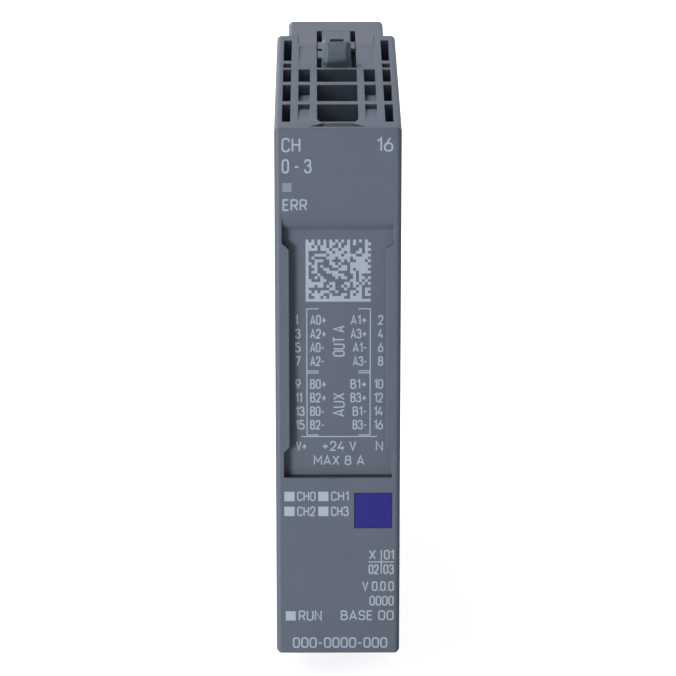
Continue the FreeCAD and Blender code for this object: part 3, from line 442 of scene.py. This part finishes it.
@dataclass(frozen=True)
class MetalFinish:
    """A rolled, drawn or plated metal."""

    name: str
    colour: Colour
    roughness: float = 0.3
    roughness_spread: float = 0.08
    line_size: float = 0.1 * MM
    line_depth: float = 0.0008 * MM
    line_strength: float = 0.15
    contrast: float = 0.1

    def build(self, effects: Effects) -> bpy.types.Material:
        """Make the material.

        Args:
            effects: The shared groups.

        Returns:
            The material.
        """
        bench = Bench(self.name)
        drawn = bench.place(effects.drawn, Line_Size=self.line_size)
        tone = bench.spread(drawn.outputs["Tone"], 0.0, 1.0)
        dark, light = scaled(self.colour, 1 - self.contrast), scaled(self.colour, 1 + self.contrast)
        bench.links.new(bench.blend(tone, dark, light), bench.shader.inputs["Base Color"])
        low, high = self.roughness - self.roughness_spread, self.roughness + self.roughness_spread
        bench.links.new(bench.spread(drawn.outputs["Tone"], low, high), bench.shader.inputs["Roughness"])
        bench.shader.inputs["Metallic"].default_value = 1.0
        bench.bump(drawn.outputs["Height"], self.line_depth, self.line_strength)
        return bench.material


@dataclass(frozen=True)
class LaminateFinish:
    """A circuit board's solder mask with copper tracks under it."""

    name: str
    mask: Colour
    track: Colour
    track_pitch: float = 1.1 * MM
    track_from: float = 0.75
    track_full: float = 0.82
    track_height: float = 0.03 * MM
    track_strength: float = 0.5
    grain_size: float = 0.3 * MM
    roughness_low: float = 0.25
    roughness_high: float = 0.4

    def build(self, effects: Effects) -> bpy.types.Material:
        """Make the material.

        Args:
            effects: The shared groups.

        Returns:
            The material.
        """
        bench = Bench(self.name)
        place = bench.nodes.new("ShaderNodeTexCoord")
        cells = bench.nodes.new("ShaderNodeTexVoronoi")
        cells.distance = "MANHATTAN"
        cells.feature = "F2"
        cells.inputs["Scale"].default_value = 1 / self.track_pitch
        bench.links.new(place.outputs["Object"], cells.inputs["Vector"])
        edge = bench.nodes.new("ShaderNodeMapRange")
        edge.inputs["From Min"].default_value = self.track_from
        edge.inputs["From Max"].default_value = self.track_full
        bench.links.new(cells.outputs["Distance"], edge.inputs["Value"])
        colour = bench.blend(edge.outputs["Result"], scaled(self.mask, 1), scaled(self.track, 1))
        bench.links.new(colour, bench.shader.inputs["Base Color"])
        grain = bench.place(effects.grain, Grain_Size=self.grain_size)
        gloss = bench.spread(grain.outputs["Gloss"], self.roughness_low, self.roughness_high)
        bench.links.new(gloss, bench.shader.inputs["Roughness"])
        bench.bump(edge.outputs["Result"], self.track_height, self.track_strength)
        return bench.material


class Finish(Enum):
    """Every finish on the module."""

    HOUSING = PlasticFinish("housing_plastic", linear(79, 87, 100), dust=0.05, edge=0.12 * MM)
    REAR = PlasticFinish("rear_housing_plastic", linear(86, 90, 102), dust=0.05, edge=0.12 * MM)
    LATCH = PlasticFinish("latch_plastic", linear(80, 90, 102), roughness=0.4, dust=0.03, edge=0.1 * MM)
    BLUE = PlasticFinish(
        "blue_plate_plastic", linear(30, 30, 112), roughness=0.5, specular=0.25, contrast=0.05
    )
    GUIDE = PlasticFinish("milky_light_guide", linear(150, 162, 172), roughness=0.35, contrast=0.03)
    DULL_GUIDE = PlasticFinish("dull_light_guide", linear(118, 126, 138), roughness=0.4, contrast=0.04)
    INK = PlasticFinish(
        "pale_print_ink", linear(146, 157, 168), roughness=0.6, contrast=0.07, grain_strength=0.2
    )
    BOARD = LaminateFinish("board_laminate", linear(16, 62, 40), linear(34, 96, 60))
    LAMP = PlasticFinish("lamp_resin", linear(232, 230, 214), roughness=0.2, coat=0.6, contrast=0.02)
    CHIP = PlasticFinish("chip_resin", linear(30, 31, 34), roughness=0.5, grain_size=0.08 * MM)
    FERRITE = PlasticFinish("ferrite", linear(48, 48, 52), roughness=0.6, contrast=0.15)
    COPPER = MetalFinish("winding_copper", linear(196, 112, 60), line_size=0.25 * MM)
    CAN = MetalFinish("can_aluminium", linear(205, 206, 208), roughness=0.35)
    CERAMIC = PlasticFinish("fired_ceramic", linear(168, 146, 116), roughness=0.35, contrast=0.08)
    INSULATOR = PlasticFinish("insulator_plastic", linear(44, 47, 52), roughness=0.5, contrast=0.1)
    CONTACT = MetalFinish("plated_contact", linear(226, 196, 128), roughness=0.38)
    KEY = PlasticFinish("natural_white_plastic", linear(214, 216, 212), roughness=0.45, contrast=0.03)


NODE_FINISHES = {
    "front_housing": Finish.HOUSING,
    "rear_housing": Finish.REAR,
    "top_release_latch": Finish.LATCH,
    "bottom_release_latch": Finish.LATCH,
    "colour_code_plate": Finish.BLUE,
    "diagnostic_light_guide": Finish.DULL_GUIDE,
    "channel_light_guide": Finish.GUIDE,
    "power_light_guide": Finish.GUIDE,
    "circuit_board": Finish.BOARD,
    "diagnostic_led": Finish.LAMP,
    "channel_leds": Finish.LAMP,
    "power_led": Finish.LAMP,
    "controller_chip": Finish.CHIP,
    "bus_interface_chip": Finish.CHIP,
    "converter_chip": Finish.CHIP,
    "output_driver_chips": Finish.CHIP,
    "transformer_core": Finish.FERRITE,
    "transformer_winding": Finish.COPPER,
    "signal_isolators": Finish.CHIP,
    "power_inductor": Finish.FERRITE,
    "supply_capacitors": Finish.CAN,
    "ceramic_capacitors": Finish.CERAMIC,
    "chip_resistors": Finish.CHIP,
    "input_fuse": Finish.CERAMIC,
    "suppressor_diode": Finish.CHIP,
    "crystal_oscillator": Finish.CAN,
    "contact_carrier": Finish.INSULATOR,
    "process_contacts": Finish.CONTACT,
    "supply_contacts": Finish.CONTACT,
    "bus_connector": Finish.INSULATOR,
    "bus_contacts": Finish.CONTACT,
    "coding_socket": Finish.INSULATOR,
    "coding_key": Finish.KEY,
}


class PaintShop:
    """Builds each finish once and gives it out."""

    def __init__(self) -> None:
        """Build the shared effects."""
        self.effects = Effects()
        self.made: dict[Finish, bpy.types.Material] = {}

    def material(self, finish: Finish) -> bpy.types.Material:
        """Return the material of a finish, built on first use."""
        if finish not in self.made:
            self.made[finish] = finish.value.build(self.effects)
        return self.made[finish]

    def coat(self, piece: bpy.types.Object, finish: Finish) -> None:
        """Give a piece one finish all over.

        Args:
            piece: The mesh object.
            finish: Its finish.
        """
        piece.data.materials.clear()
        piece.data.materials.append(self.material(finish))


# --- The moulded and electronic nodes --------------------------------------------------------------
@dataclass
class CarriedParts:
    """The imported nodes, which keep their shape and get their finishes."""

    shop: PaintShop

    def dress(self) -> int:
        """Coat every node.

        Returns:
            How many nodes were dressed.
        """
        for name, finish in NODE_FINISHES.items():
            self.shop.coat(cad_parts[name], finish)
        return len(NODE_FINISHES)


# --- Print on the face -----------------------------------------------------------------------------
@dataclass(frozen=True)
class Stroke:
    """One pen line of a letter: points on a unit-high body, each with the radius of its corner."""

    points: tuple[Point, ...]
    closed: bool = False


@dataclass(frozen=True)
class Glyph:
    """A letter's width and its pen lines."""

    width: float
    strokes: tuple[Stroke, ...] = ()


def line(*pairs: tuple[float, float]) -> Stroke:
    """Return an open pen line with sharp corners."""
    return Stroke(tuple((x, y, 0.0) for x, y in pairs))


def bowl(x0: float, y0: float, x1: float, y1: float) -> Stroke:
    """Return a closed bowl with fully rounded corners."""
    radius = min(x1 - x0, y1 - y0) / 2
    return Stroke(((x0, y0, radius), (x1, y0, radius), (x1, y1, radius), (x0, y1, radius)), True)


def soft(*triples: Point) -> Stroke:
    """Return an open pen line with its own radius at each point."""
    return Stroke(tuple(triples))


LETTERS = {
    " ": Glyph(0.12),
    "0": Glyph(0.52, (bowl(0, 0, 0.52, 1),)),
    "1": Glyph(0.24, (line((0, 0.76), (0.24, 1), (0.24, 0)),)),
    "2": Glyph(0.52, (soft(
        (0.02, 0.7, 0), (0.02, 1, 0.24), (0.5, 1, 0.24), (0.5, 0.56, 0.12), (0, 0, 0), (0.52, 0, 0),
    ),)),
    "3": Glyph(0.52, (
        soft((0.02, 0.78, 0), (0.02, 1, 0.2), (0.48, 1, 0.23), (0.48, 0.54, 0.2), (0.2, 0.54, 0)),
        soft((0.2, 0.54, 0), (0.52, 0.54, 0.22), (0.52, 0, 0.25), (0, 0, 0.22), (0, 0.24, 0)),
    )),
    "4": Glyph(0.56, (line((0.34, 1), (0, 0.26), (0.56, 0.26)), line((0.42, 0.48), (0.42, 0)))),
    "5": Glyph(0.52, (soft(
        (0.48, 1, 0), (0.04, 1, 0), (0.04, 0.6, 0), (0.52, 0.6, 0.24),
        (0.52, 0, 0.25), (0, 0, 0.2), (0, 0.18, 0),
    ),)),
    "6": Glyph(0.52, (bowl(0, 0, 0.52, 0.6), line((0.38, 1), (0.03, 0.4)))),
    "7": Glyph(0.5, (line((0, 1), (0.5, 1), (0.16, 0)),)),
    "8": Glyph(0.52, (bowl(0.04, 0.55, 0.48, 1), bowl(0, 0, 0.52, 0.55))),
    "9": Glyph(0.52, (bowl(0, 0.4, 0.52, 1), line((0.14, 0), (0.49, 0.6)))),
    "A": Glyph(0.6, (line((0, 0), (0.3, 1), (0.6, 0)), line((0.09, 0.28), (0.51, 0.28)))),
    "B": Glyph(0.52, (
        line((0, 0), (0, 1)),
        soft((0, 1, 0), (0.47, 1, 0.22), (0.47, 0.54, 0.22), (0, 0.54, 0)),
        soft((0, 0, 0), (0.52, 0, 0.25), (0.52, 0.54, 0.25), (0, 0.54, 0)),
    )),
    "C": Glyph(0.5, (soft(
        (0.5, 0.76, 0), (0.5, 1, 0.24), (0, 1, 0.25), (0, 0, 0.25), (0.5, 0, 0.24), (0.5, 0.24, 0),
    ),)),
    "E": Glyph(0.44, (line((0.44, 1), (0, 1), (0, 0), (0.44, 0)), line((0, 0.52), (0.38, 0.52)))),
    "H": Glyph(0.52, (line((0, 0), (0, 1)), line((0.52, 0), (0.52, 1)), line((0, 0.52), (0.52, 0.52)))),
    "M": Glyph(0.66, (line((0, 0), (0, 1), (0.33, 0.36), (0.66, 1), (0.66, 0)),)),
    "N": Glyph(0.54, (line((0, 0), (0, 1), (0.54, 0), (0.54, 1)),)),
    "O": Glyph(0.54, (bowl(0, 0, 0.54, 1),)),
    "R": Glyph(0.52, (
        line((0, 0), (0, 1)),
        soft((0, 1, 0), (0.5, 1, 0.25), (0.5, 0.46, 0.25), (0, 0.46, 0)),
        line((0.26, 0.46), (0.52, 0)),
    )),
    "S": Glyph(0.5, (soft(
        (0.48, 0.76, 0), (0.48, 1, 0.22), (0.01, 1, 0.22), (0.01, 0.55, 0.2),
        (0.5, 0.47, 0.2), (0.5, 0, 0.24), (0, 0, 0.22), (0, 0.24, 0),
    ),)),
    "T": Glyph(0.52, (line((0, 1), (0.52, 1)), line((0.26, 1), (0.26, 0)))),
    "U": Glyph(0.52, (soft((0, 1, 0), (0, 0, 0.25), (0.52, 0, 0.25), (0.52, 1, 0)),)),
    "V": Glyph(0.56, (line((0, 1), (0.28, 0), (0.56, 1)),)),
    "X": Glyph(0.52, (line((0, 0), (0.52, 1)), line((0, 1), (0.52, 0)))),
    "+": Glyph(0.54, (line((0, 0.45), (0.54, 0.45)), line((0.27, 0.18), (0.27, 0.72)))),
    "-": Glyph(0.32, (line((0, 0.44), (0.32, 0.44)),)),
    ".": Glyph(0.0, (line((0, -0.03), (0, 0.06)),)),
}
LETTER_GAP = 0.24
REGULAR_PEN = 0.135
LIGHT_PEN = 0.12
SAME_POINT = 1e-4


def softened(stroke: Stroke, steps: int = 4) -> list[Vector]:
    """Return a pen line's points with its corners turned into arcs.

    Args:
        stroke: The pen line.
        steps: How many pieces each arc has.

    Returns:
        The points on the unit-high body.
    """
    count = len(stroke.points)
    path = []
    for index, (x, y, radius) in enumerate(stroke.points):
        here = Vector((x, y))
        inside = stroke.closed or 0 < index < count - 1
        if radius <= 0 or not inside:
            path.append(here)
            continue
        before = Vector(stroke.points[index - 1][:2]) - here
        after = Vector(stroke.points[(index + 1) % count][:2]) - here
        reach = min(radius, before.length / 2 if stroke.closed else before.length, after.length)
        start, end = here + before.normalized() * reach, here + after.normalized() * reach
        for step in range(steps + 1):
            share = step / steps
            first = start.lerp(here, share)
            path.append(first.lerp(here.lerp(end, share), share))
    return [
        point for index, point in enumerate(path)
        if index == 0 or (point - path[index - 1]).length > SAME_POINT
    ]


@dataclass(frozen=True)
class Plane:
    """An upright printed plane, with X across and drops counted down from the shell's top edge."""

    y: float
    top: float
    proud: float = 0.014 * MM
    sunk: float = 0.006 * MM

    def span(self) -> tuple[float, float]:
        """Return the y of the ink's outer face and of its sunken back."""
        return self.y - self.proud, self.y + self.sunk

    def height(self, drop: float) -> float:
        """Return the z of a drop in millimetres."""
        return self.top - drop * MM


@dataclass(frozen=True)
class Area:
    """An area of print in millimetres: x to the right, drops downward."""

    left: float
    right: float
    top: float
    bottom: float


@dataclass(frozen=True)
class Caption:
    """A line of text, the area it fills, its pen as a share of its height and its direction."""

    words: str
    area: Area
    weight: float = REGULAR_PEN
    upward: bool = False


class InkSheet:
    """Collects printed marks on one plane into one mesh."""

    lifts = 6
    lift = 0.0015 * MM
    mitre_limit = 0.45

    def __init__(self, name: str, plane: Plane) -> None:
        """Start an empty sheet.

        Args:
            name: The piece's name.
            plane: Where it is printed.
        """
        self.name = name
        self.plane = plane
        self.mesh = bmesh.new()
        self.lines = 0

    def bar(self, left: float, right: float, top: float, bottom: float) -> None:
        """Print a straight bar between two x and two drops, in millimetres."""
        middle = (top + bottom) / 2
        self.ribbon([Vector((left, middle)), Vector((right, middle))], bottom - top, False)

    def ribbon(self, path: list[Vector], width: float, closed: bool) -> None:
        """Print a line of even width.

        Args:
            path: Its middle line as (x, drop) points in millimetres.
            width: Its width in millimetres.
            closed: Whether it closes on itself.
        """
        if closed and (path[0] - path[-1]).length < SAME_POINT:
            path = path[:-1]
        self.lines += 1
        lift = self.lines % self.lifts * self.lift
        sections = []
        for index, point in enumerate(path):
            side = self.mitre(path, index, closed) * (width / 2)
            corners = []
            for y, sign in ((0, 1), (0, -1), (1, -1), (1, 1)):
                place = point + side * sign
                spot = (place.x * MM, self.plane.span()[y] - lift, self.plane.height(place.y))
                corners.append(self.mesh.verts.new(spot))
            sections.append(corners)
        if closed:
            sections.append(sections[0])
        for start, end in zip(sections, sections[1:]):
            for index in range(len(start)):
                after = (index + 1) % len(start)
                self.mesh.faces.new((start[index], start[after], end[after], end[index]))
        if not closed:
            self.mesh.faces.new(sections[0][::-1])
            self.mesh.faces.new(sections[-1])

    def mitre(self, path: list[Vector], index: int, closed: bool) -> Vector:
        """Return the unit sideways offset of a line at one of its points, longer at sharp corners.

        Args:
            path: The line's points.
            index: Which point.
            closed: Whether the line closes on itself.

        Returns:
            The offset that keeps the line's width even.
        """
        count = len(path)
        before = path[index] - path[index - 1] if closed or index > 0 else None
        after = path[(index + 1) % count] - path[index] if closed or index < count - 1 else None
        first = (before or after).normalized()
        second = (after or before).normalized()
        normals = [Vector((-way.y, way.x)) for way in (first, second)]
        middle = (normals[0] + normals[1]).normalized()
        return middle / max(self.mitre_limit, middle.dot(normals[0]))

    def write(self, captions: Iterable[Caption]) -> None:
        """Print several lines of text in order."""
        for caption in captions:
            self.text(caption)

    def text(self, caption: Caption) -> None:
        """Print a line of text that fills its area.

        Args:
            caption: What it says, where, and how heavy its pen is.
        """
        area, upward = caption.area, caption.upward
        across, down = area.right - area.left, area.bottom - area.top
        height = across if upward else down
        length = down if upward else across
        pen = caption.weight * height
        body = height - pen
        widths = sum(LETTERS[letter].width for letter in caption.words)
        natural = widths + LETTER_GAP * (len(caption.words) - 1)
        stretch = (length - pen) / natural
        cursor = pen / 2
        for letter in caption.words:
            glyph = LETTERS[letter]
            for stroke in glyph.strokes:
                path = []
                for point in softened(stroke):
                    along = cursor + point.x * stretch
                    up = pen / 2 + point.y * body
                    if upward:
                        path.append(Vector((area.right - up, area.bottom - along)))
                    else:
                        path.append(Vector((area.left + along, area.bottom - up)))
                self.ribbon(path, pen, stroke.closed)
            cursor += (glyph.width + LETTER_GAP) * stretch

    def cells(self, left: float, top: float, size: float, lit: set[tuple[int, int]]) -> None:
        """Print square cells as one thin relief with walls only along its outline.

        Args:
            left: The pattern's left edge, in millimetres.
            top: The pattern's top edge as a drop, in millimetres.
            size: One cell's side, in millimetres.
            lit: The column and row of each printed cell.
        """
        corners: dict[tuple[int, int, int], bmesh.types.BMVert] = {}

        def corner(column: int, row: int, side: int) -> bmesh.types.BMVert:
            """Return the vertex at a grid corner, on the front or the back."""
            key = (column, row, side)
            if key not in corners:
                z = self.plane.height(top + row * size)
                corners[key] = self.mesh.verts.new(((left + column * size) * MM, self.plane.span()[side], z))
            return corners[key]

        for column, row in sorted(lit):
            square = [(column, row + 1), (column + 1, row + 1), (column + 1, row), (column, row)]
            self.mesh.faces.new([corner(*place, 0) for place in square])
            self.mesh.faces.new([corner(*place, 1) for place in reversed(square)])
            beyond = [(column, row + 1), (column + 1, row), (column, row - 1), (column - 1, row)]
            for index, neighbour in enumerate(beyond):
                if neighbour in lit:
                    continue
                start, end = square[index], square[(index + 1) % len(square)]
                self.mesh.faces.new((corner(*start, 0), corner(*start, 1), corner(*end, 1), corner(*end, 0)))

    def finish(self, body: str, shop: PaintShop, slot: str) -> bpy.types.Object:
        """Turn the sheet into a piece that rides on a body.

        Args:
            body: The body it is printed on.
            shop: Where its ink comes from.
            slot: Not used.

        Returns:
            The printed piece.
        """
        bmesh.ops.recalc_face_normals(self.mesh, faces=self.mesh.faces)
        mesh = bpy.data.meshes.new(self.name)
        self.mesh.to_mesh(mesh)
        self.mesh.free()
        piece = bpy.data.objects.new(self.name, mesh)
        bpy.context.scene.collection.objects.link(piece)
        shop.coat(piece, Finish.INK)
        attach(piece, body)
        return piece


FACE_HEADINGS = (
    Caption("CH", Area(-6.62, -4.40, 1.20, 2.97), LIGHT_PEN),
    Caption("16", Area(4.55, 6.48, 1.14, 2.91), LIGHT_PEN),
    Caption("0 - 3", Area(-6.62, -3.10, 3.80, 5.55), LIGHT_PEN),
    Caption("ERR", Area(-6.54, -3.60, 8.70, 10.16)),
)
CHANNEL_NAMES = (
    Caption("CH0", Area(-4.94, -2.70, 45.60, 46.84)),
    Caption("CH1", Area(-0.85, 1.30, 45.60, 46.84)),
    Caption("CH2", Area(-4.94, -2.70, 47.54, 48.81)),
    Caption("CH3", Area(-0.85, 1.30, 47.54, 48.81)),
    Caption("RUN", Area(-4.80, -1.97, 61.17, 62.54)),
)
VERSION_DIGITS = (
    Caption("X", Area(3.76, 4.60, 53.21, 54.49)),
    Caption("01", Area(5.56, 6.81, 53.21, 54.49)),
    Caption("02", Area(3.71, 4.96, 55.12, 56.41)),
    Caption("03", Area(5.50, 6.81, 55.12, 56.41)),
)
PLACEHOLDER_NOTES = (
    Caption("V 0.0.0", Area(2.96, 6.82, 57.34, 58.64)),
    Caption("0000", Area(3.82, 6.81, 59.26, 60.56)),
    Caption("BASE 00", Area(0.33, 6.81, 61.17, 62.49)),
    Caption("000-0000-000", Area(-5.53, 6.04, 64.73, 66.16)),
)
RECESS_WORDS = (
    Caption("OUT A", Area(-0.61, 0.83, 24.82, 28.74), LIGHT_PEN, upward=True),
    Caption("AUX", Area(-0.61, 0.83, 33.34, 36.40), LIGHT_PEN, upward=True),
    Caption("V+", Area(-5.05, -3.74, 39.52, 40.78)),
    Caption("+24 V", Area(-1.93, 2.22, 39.50, 40.78)),
    Caption("N", Area(4.56, 5.44, 39.52, 40.78)),
    Caption("MAX 8 A", Area(-2.93, 3.20, 41.36, 42.62)),
)


@dataclass
class FacePrint:
    """The text on the module's face, above and below the label recess."""

    plane: Plane
    table_x: float = 5.26
    table_drop: float = 54.80
    table_half_height: float = 1.56
    table_reach: float = 1.57
    pen: float = 0.14

    def build(self, shop: PaintShop) -> bpy.types.Object:
        """Print the face.

        Args:
            shop: Where the ink comes from.

        Returns:
            The printed piece.
        """
        sheet = InkSheet("face_print", self.plane)
        sheet.write(FACE_HEADINGS)
        sheet.write(CHANNEL_NAMES)
        self.cross(sheet)
        sheet.write(VERSION_DIGITS)
        sheet.write(PLACEHOLDER_NOTES)
        return sheet.finish("module", shop, "housing_plastic")

    def cross(self, sheet: InkSheet) -> None:
        """Print the cross between the version digits."""
        half = self.pen / 2
        x, drop = self.table_x, self.table_drop
        sheet.bar(x - half, x + half, drop - self.table_half_height, drop + self.table_half_height)
        sheet.bar(x - self.table_reach, x + self.table_reach, drop - half, drop + half)


RECESS_DEPTH = 1.1 * MM


@dataclass
class RecessPrint:
    """The terminal diagram on the floor of the label recess."""

    plane: Plane
    frame_left: float = -3.72
    frame_right: float = 3.86
    frame_top: float = 22.63
    frame_middle: float = 30.67
    frame_bottom: float = 38.80
    tick: float = 1.4
    pen: float = 0.13
    row_pitch: float = 1.735
    upper_row: float = 24.09
    lower_row: float = 32.21
    rows: int = 4
    cap: float = 1.25
    supply_left: float = -4.42
    supply_right: float = 4.71
    name_left: float = -3.34
    name_right: float = 3.48
    plus_length: float = 1.98
    minus_length: float = 1.72
    number_left: float = -5.12
    number_right: float = 5.43
    one_width: float = 0.36
    digit_width: float = 0.66
    digit_gap: float = 0.1

    def build(self, shop: PaintShop) -> bpy.types.Object:
        """Print the recess.

        Args:
            shop: Where the ink comes from.

        Returns:
            The printed piece.
        """
        sheet = InkSheet("terminal_print", self.plane)
        self.brackets(sheet)
        for start, letter, first in ((self.upper_row, "A", 1), (self.lower_row, "B", 9)):
            self.terminals(sheet, start, letter, first)
        sheet.write(RECESS_WORDS)
        return sheet.finish("module", shop, "housing_plastic")

    def brackets(self, sheet: InkSheet) -> None:
        """Print the two brackets on each side and the long line under them."""
        half = self.pen / 2
        for x, inward in ((self.frame_left, 1), (self.frame_right, -1)):
            sheet.bar(x - half, x + half, self.frame_top, self.frame_bottom)
            left, right = sorted((x + inward * half, x + inward * self.tick))
            sheet.bar(left, right, self.frame_top, self.frame_top + self.pen)
            for offset in (-self.pen, self.pen):
                drop = self.frame_middle + offset
                sheet.bar(left, right, drop - half, drop + half)
            sheet.bar(left, right, self.frame_bottom - self.pen, self.frame_bottom)
        top = self.frame_bottom + half
        sheet.bar(self.supply_left, self.supply_right, top, top + self.pen)

    def terminals(self, sheet: InkSheet, start: float, letter: str, first: int) -> None:
        """Print one block of terminal numbers and signal names.

        Args:
            sheet: Where to print.
            start: The drop of the first row's middle.
            letter: The signals' letter.
            first: The first terminal's number.
        """
        for row in range(self.rows):
            middle = start + row * self.row_pitch
            top, bottom = middle - self.cap / 2, middle + self.cap / 2
            positive = row < self.rows // 2
            sign, length = ("+", self.plus_length) if positive else ("-", self.minus_length)
            channel = 2 * (row % 2)
            number = first + 2 * row
            left = Area(self.name_left, self.name_left + length, top, bottom)
            right = Area(self.name_right - length, self.name_right, top, bottom)
            sheet.text(Caption(f"{letter}{channel}{sign}", left))
            sheet.text(Caption(f"{letter}{channel + 1}{sign}", right))
            lower, upper = str(number), str(number + 1)
            width = self.width(lower)
            sheet.text(Caption(lower, Area(self.number_left, self.number_left + width, top, bottom)))
            start_x = self.number_right - self.width(upper)
            sheet.text(Caption(upper, Area(start_x, start_x + self.width(upper), top, bottom)))

    def width(self, digits: str) -> float:
        """Return the printed width of a terminal number, in which a one is narrow."""
        parts = (self.one_width if digit == "1" else self.digit_width for digit in digits)
        return sum(parts) + self.digit_gap * (len(digits) - 1)


@dataclass
class CellPattern:
    """A square of random cells with a solid left and bottom edge. It encodes nothing."""

    plane: Plane
    left: float = -3.84
    top: float = 14.05
    cells: int = 22
    cell: float = 0.352
    fill: float = 0.54
    seed: int = 41

    def build(self, shop: PaintShop) -> bpy.types.Object:
        """Print the pattern.

        Args:
            shop: Where the ink comes from.

        Returns:
            The printed piece.
        """
        sheet = InkSheet("cell_pattern_print", self.plane)
        sheet.cells(self.left, self.top, self.cell, self.lit_cells())
        return sheet.finish("module", shop, "housing_plastic")

    def lit_cells(self) -> set[tuple[int, int]]:
        """Return the printed cells: two solid edges, two broken ones and a random field."""
        chance = random.Random(self.seed)
        last = self.cells - 1
        lit = set()
        for column in range(self.cells):
            for row in range(self.cells):
                if column == 0 or row == last:
                    wanted = True
                elif row == 0:
                    wanted = column % 2 == 0
                elif column == last:
                    wanted = row % 2 == 1
                else:
                    wanted = chance.random() < self.fill
                if wanted:
                    lit.add((column, row))
        return lit


# --- Studio ----------------------------------------------------------------------------------------
@dataclass(frozen=True)
class Lamp:
    """A soft lamp: its place and its width and height in metres, and its power in watts."""

    name: str
    place: Point
    size: tuple[float, float]
    power: float


STUDIO_LAMPS = (
    Lamp("key_strip", (-0.40, -0.50, -0.012), (0.20, 0.03), 3.5),
    Lamp("soft_front", (-0.75, -0.70, 0.55), (0.5, 0.5), 2.4),
    Lamp("top_light", (-0.32, 0.12, 0.85), (0.4, 0.4), 8.8),
    Lamp("rear_fill_left", (-0.6, 0.7, 0.35), (0.6, 0.6), 3.0),
    Lamp("rear_fill_right", (0.7, 0.5, 0.3), (0.6, 0.6), 3.0),
)


@dataclass
class Studio:
    """The pale floor, the soft lights and the camera."""

    floor_size: float = 3.0
    floor_cells: int = 8
    floor_roughness: float = 0.9
    floor_colour: Colour = (0.42, 0.425, 0.43)
    floor_glow: float = 0.85
    sky_colour: Colour = (0.97, 0.98, 1.0)
    sky_strength: float = 0.32
    lens: float = 205.8
    sensor: float = 36.0
    distance: float = 460.3 * MM
    pitch: float = 19.06
    yaw: float = 0.33
    aim_rise: float = 7.4 * MM

    def build(self) -> None:
        """Set up the floor, the light and the camera."""
        scene = bpy.context.scene
        scene.view_settings.view_transform = "Standard"
        self.floor()
        self.sky(scene)
        for plan in STUDIO_LAMPS:
            self.lamp(plan)
        self.camera(scene)

    def floor(self) -> None:
        """Lay a wide pale floor just under the module."""
        low = CAD_BOUNDS[0][2]
        grid = bmesh.new()
        cells = self.floor_cells
        bmesh.ops.create_grid(grid, x_segments=cells, y_segments=cells, size=self.floor_size / 2)
        bmesh.ops.translate(grid, verts=grid.verts, vec=Vector((0, 0, low)))
        mesh = bpy.data.meshes.new("studio_floor")
        grid.to_mesh(mesh)
        grid.free()
        floor = bpy.data.objects.new("studio_floor", mesh)
        bpy.context.scene.collection.objects.link(floor)
        bench = Bench("floor_paper")
        bench.shader.inputs["Base Color"].default_value = scaled(self.floor_colour, 1.0)
        bench.shader.inputs["Roughness"].default_value = self.floor_roughness
        bench.shader.inputs["Emission Color"].default_value = scaled(self.sky_colour, 1.0)
        path = bench.nodes.new("ShaderNodeLightPath")
        glow = bench.nodes.new("ShaderNodeMath")
        glow.operation = "MULTIPLY"
        glow.inputs[1].default_value = self.floor_glow
        bench.links.new(path.outputs["Is Camera Ray"], glow.inputs[0])
        bench.links.new(glow.outputs[0], bench.shader.inputs["Emission Strength"])
        floor.data.materials.append(bench.material)

    def sky(self, scene: bpy.types.Scene) -> None:
        """Surround the scene with even white light."""
        world = bpy.data.worlds.new("studio_sky")
        world.use_nodes = True
        background = world.node_tree.nodes["Background"]
        background.inputs["Color"].default_value = scaled(self.sky_colour, 1.0)
        background.inputs["Strength"].default_value = self.sky_strength
        scene.world = world

    def lamp(self, plan: Lamp) -> None:
        """Hang one soft lamp that faces the module and stays out of the picture.

        Args:
            plan: The lamp.
        """
        light = bpy.data.lights.new(plan.name, "AREA")
        light.shape = "RECTANGLE"
        light.size, light.size_y = plan.size
        light.energy = plan.power
        lamp = bpy.data.objects.new(plan.name, light)
        lamp.location = plan.place
        lamp.rotation_euler = (-Vector(plan.place)).to_track_quat("-Z", "Y").to_euler()
        lamp.visible_camera = False
        bpy.context.scene.collection.objects.link(lamp)

    def camera(self, scene: bpy.types.Scene) -> None:
        """Stand the camera in front of the face, a little above and to the left."""
        low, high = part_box("front_housing")
        aim = Vector(((low[0] + high[0]) / 2, low[1], (low[2] + high[2]) / 2 + self.aim_rise))
        turn = Matrix.Rotation(-math.radians(self.yaw), 4, "Z")
        tilt = Matrix.Rotation(math.radians(90 - self.pitch), 4, "X")
        facing = turn @ tilt
        data = bpy.data.cameras.new("studio_camera")
        data.lens = self.lens
        data.sensor_width = self.sensor
        camera = bpy.data.objects.new("studio_camera", data)
        camera.matrix_world = Matrix.Translation(aim) @ facing @ Matrix.Translation((0, 0, self.distance))
        scene.collection.objects.link(camera)
        scene.camera = camera


def report(pieces: Iterable[bpy.types.Object]) -> None:
    """Log each printed piece and its face count."""
    for piece in pieces:
        log.info("%s: %d faces", piece.name, len(piece.data.polygons))


def main() -> None:
    """Build the studio, dress the nodes and print the face."""
    logging.basicConfig(level=logging.INFO, format="%(name)s: %(message)s")
    Studio().build()
    shop = PaintShop()
    log.info("dressed %d nodes", CarriedParts(shop).dress())
    low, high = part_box("front_housing")
    face = Plane(low[1], high[2])
    recess = Plane(low[1] + RECESS_DEPTH, high[2])
    report([FacePrint(face).build(shop), RecessPrint(recess).build(shop), CellPattern(recess).build(shop)])


if __name__ == "__main__":
    main()
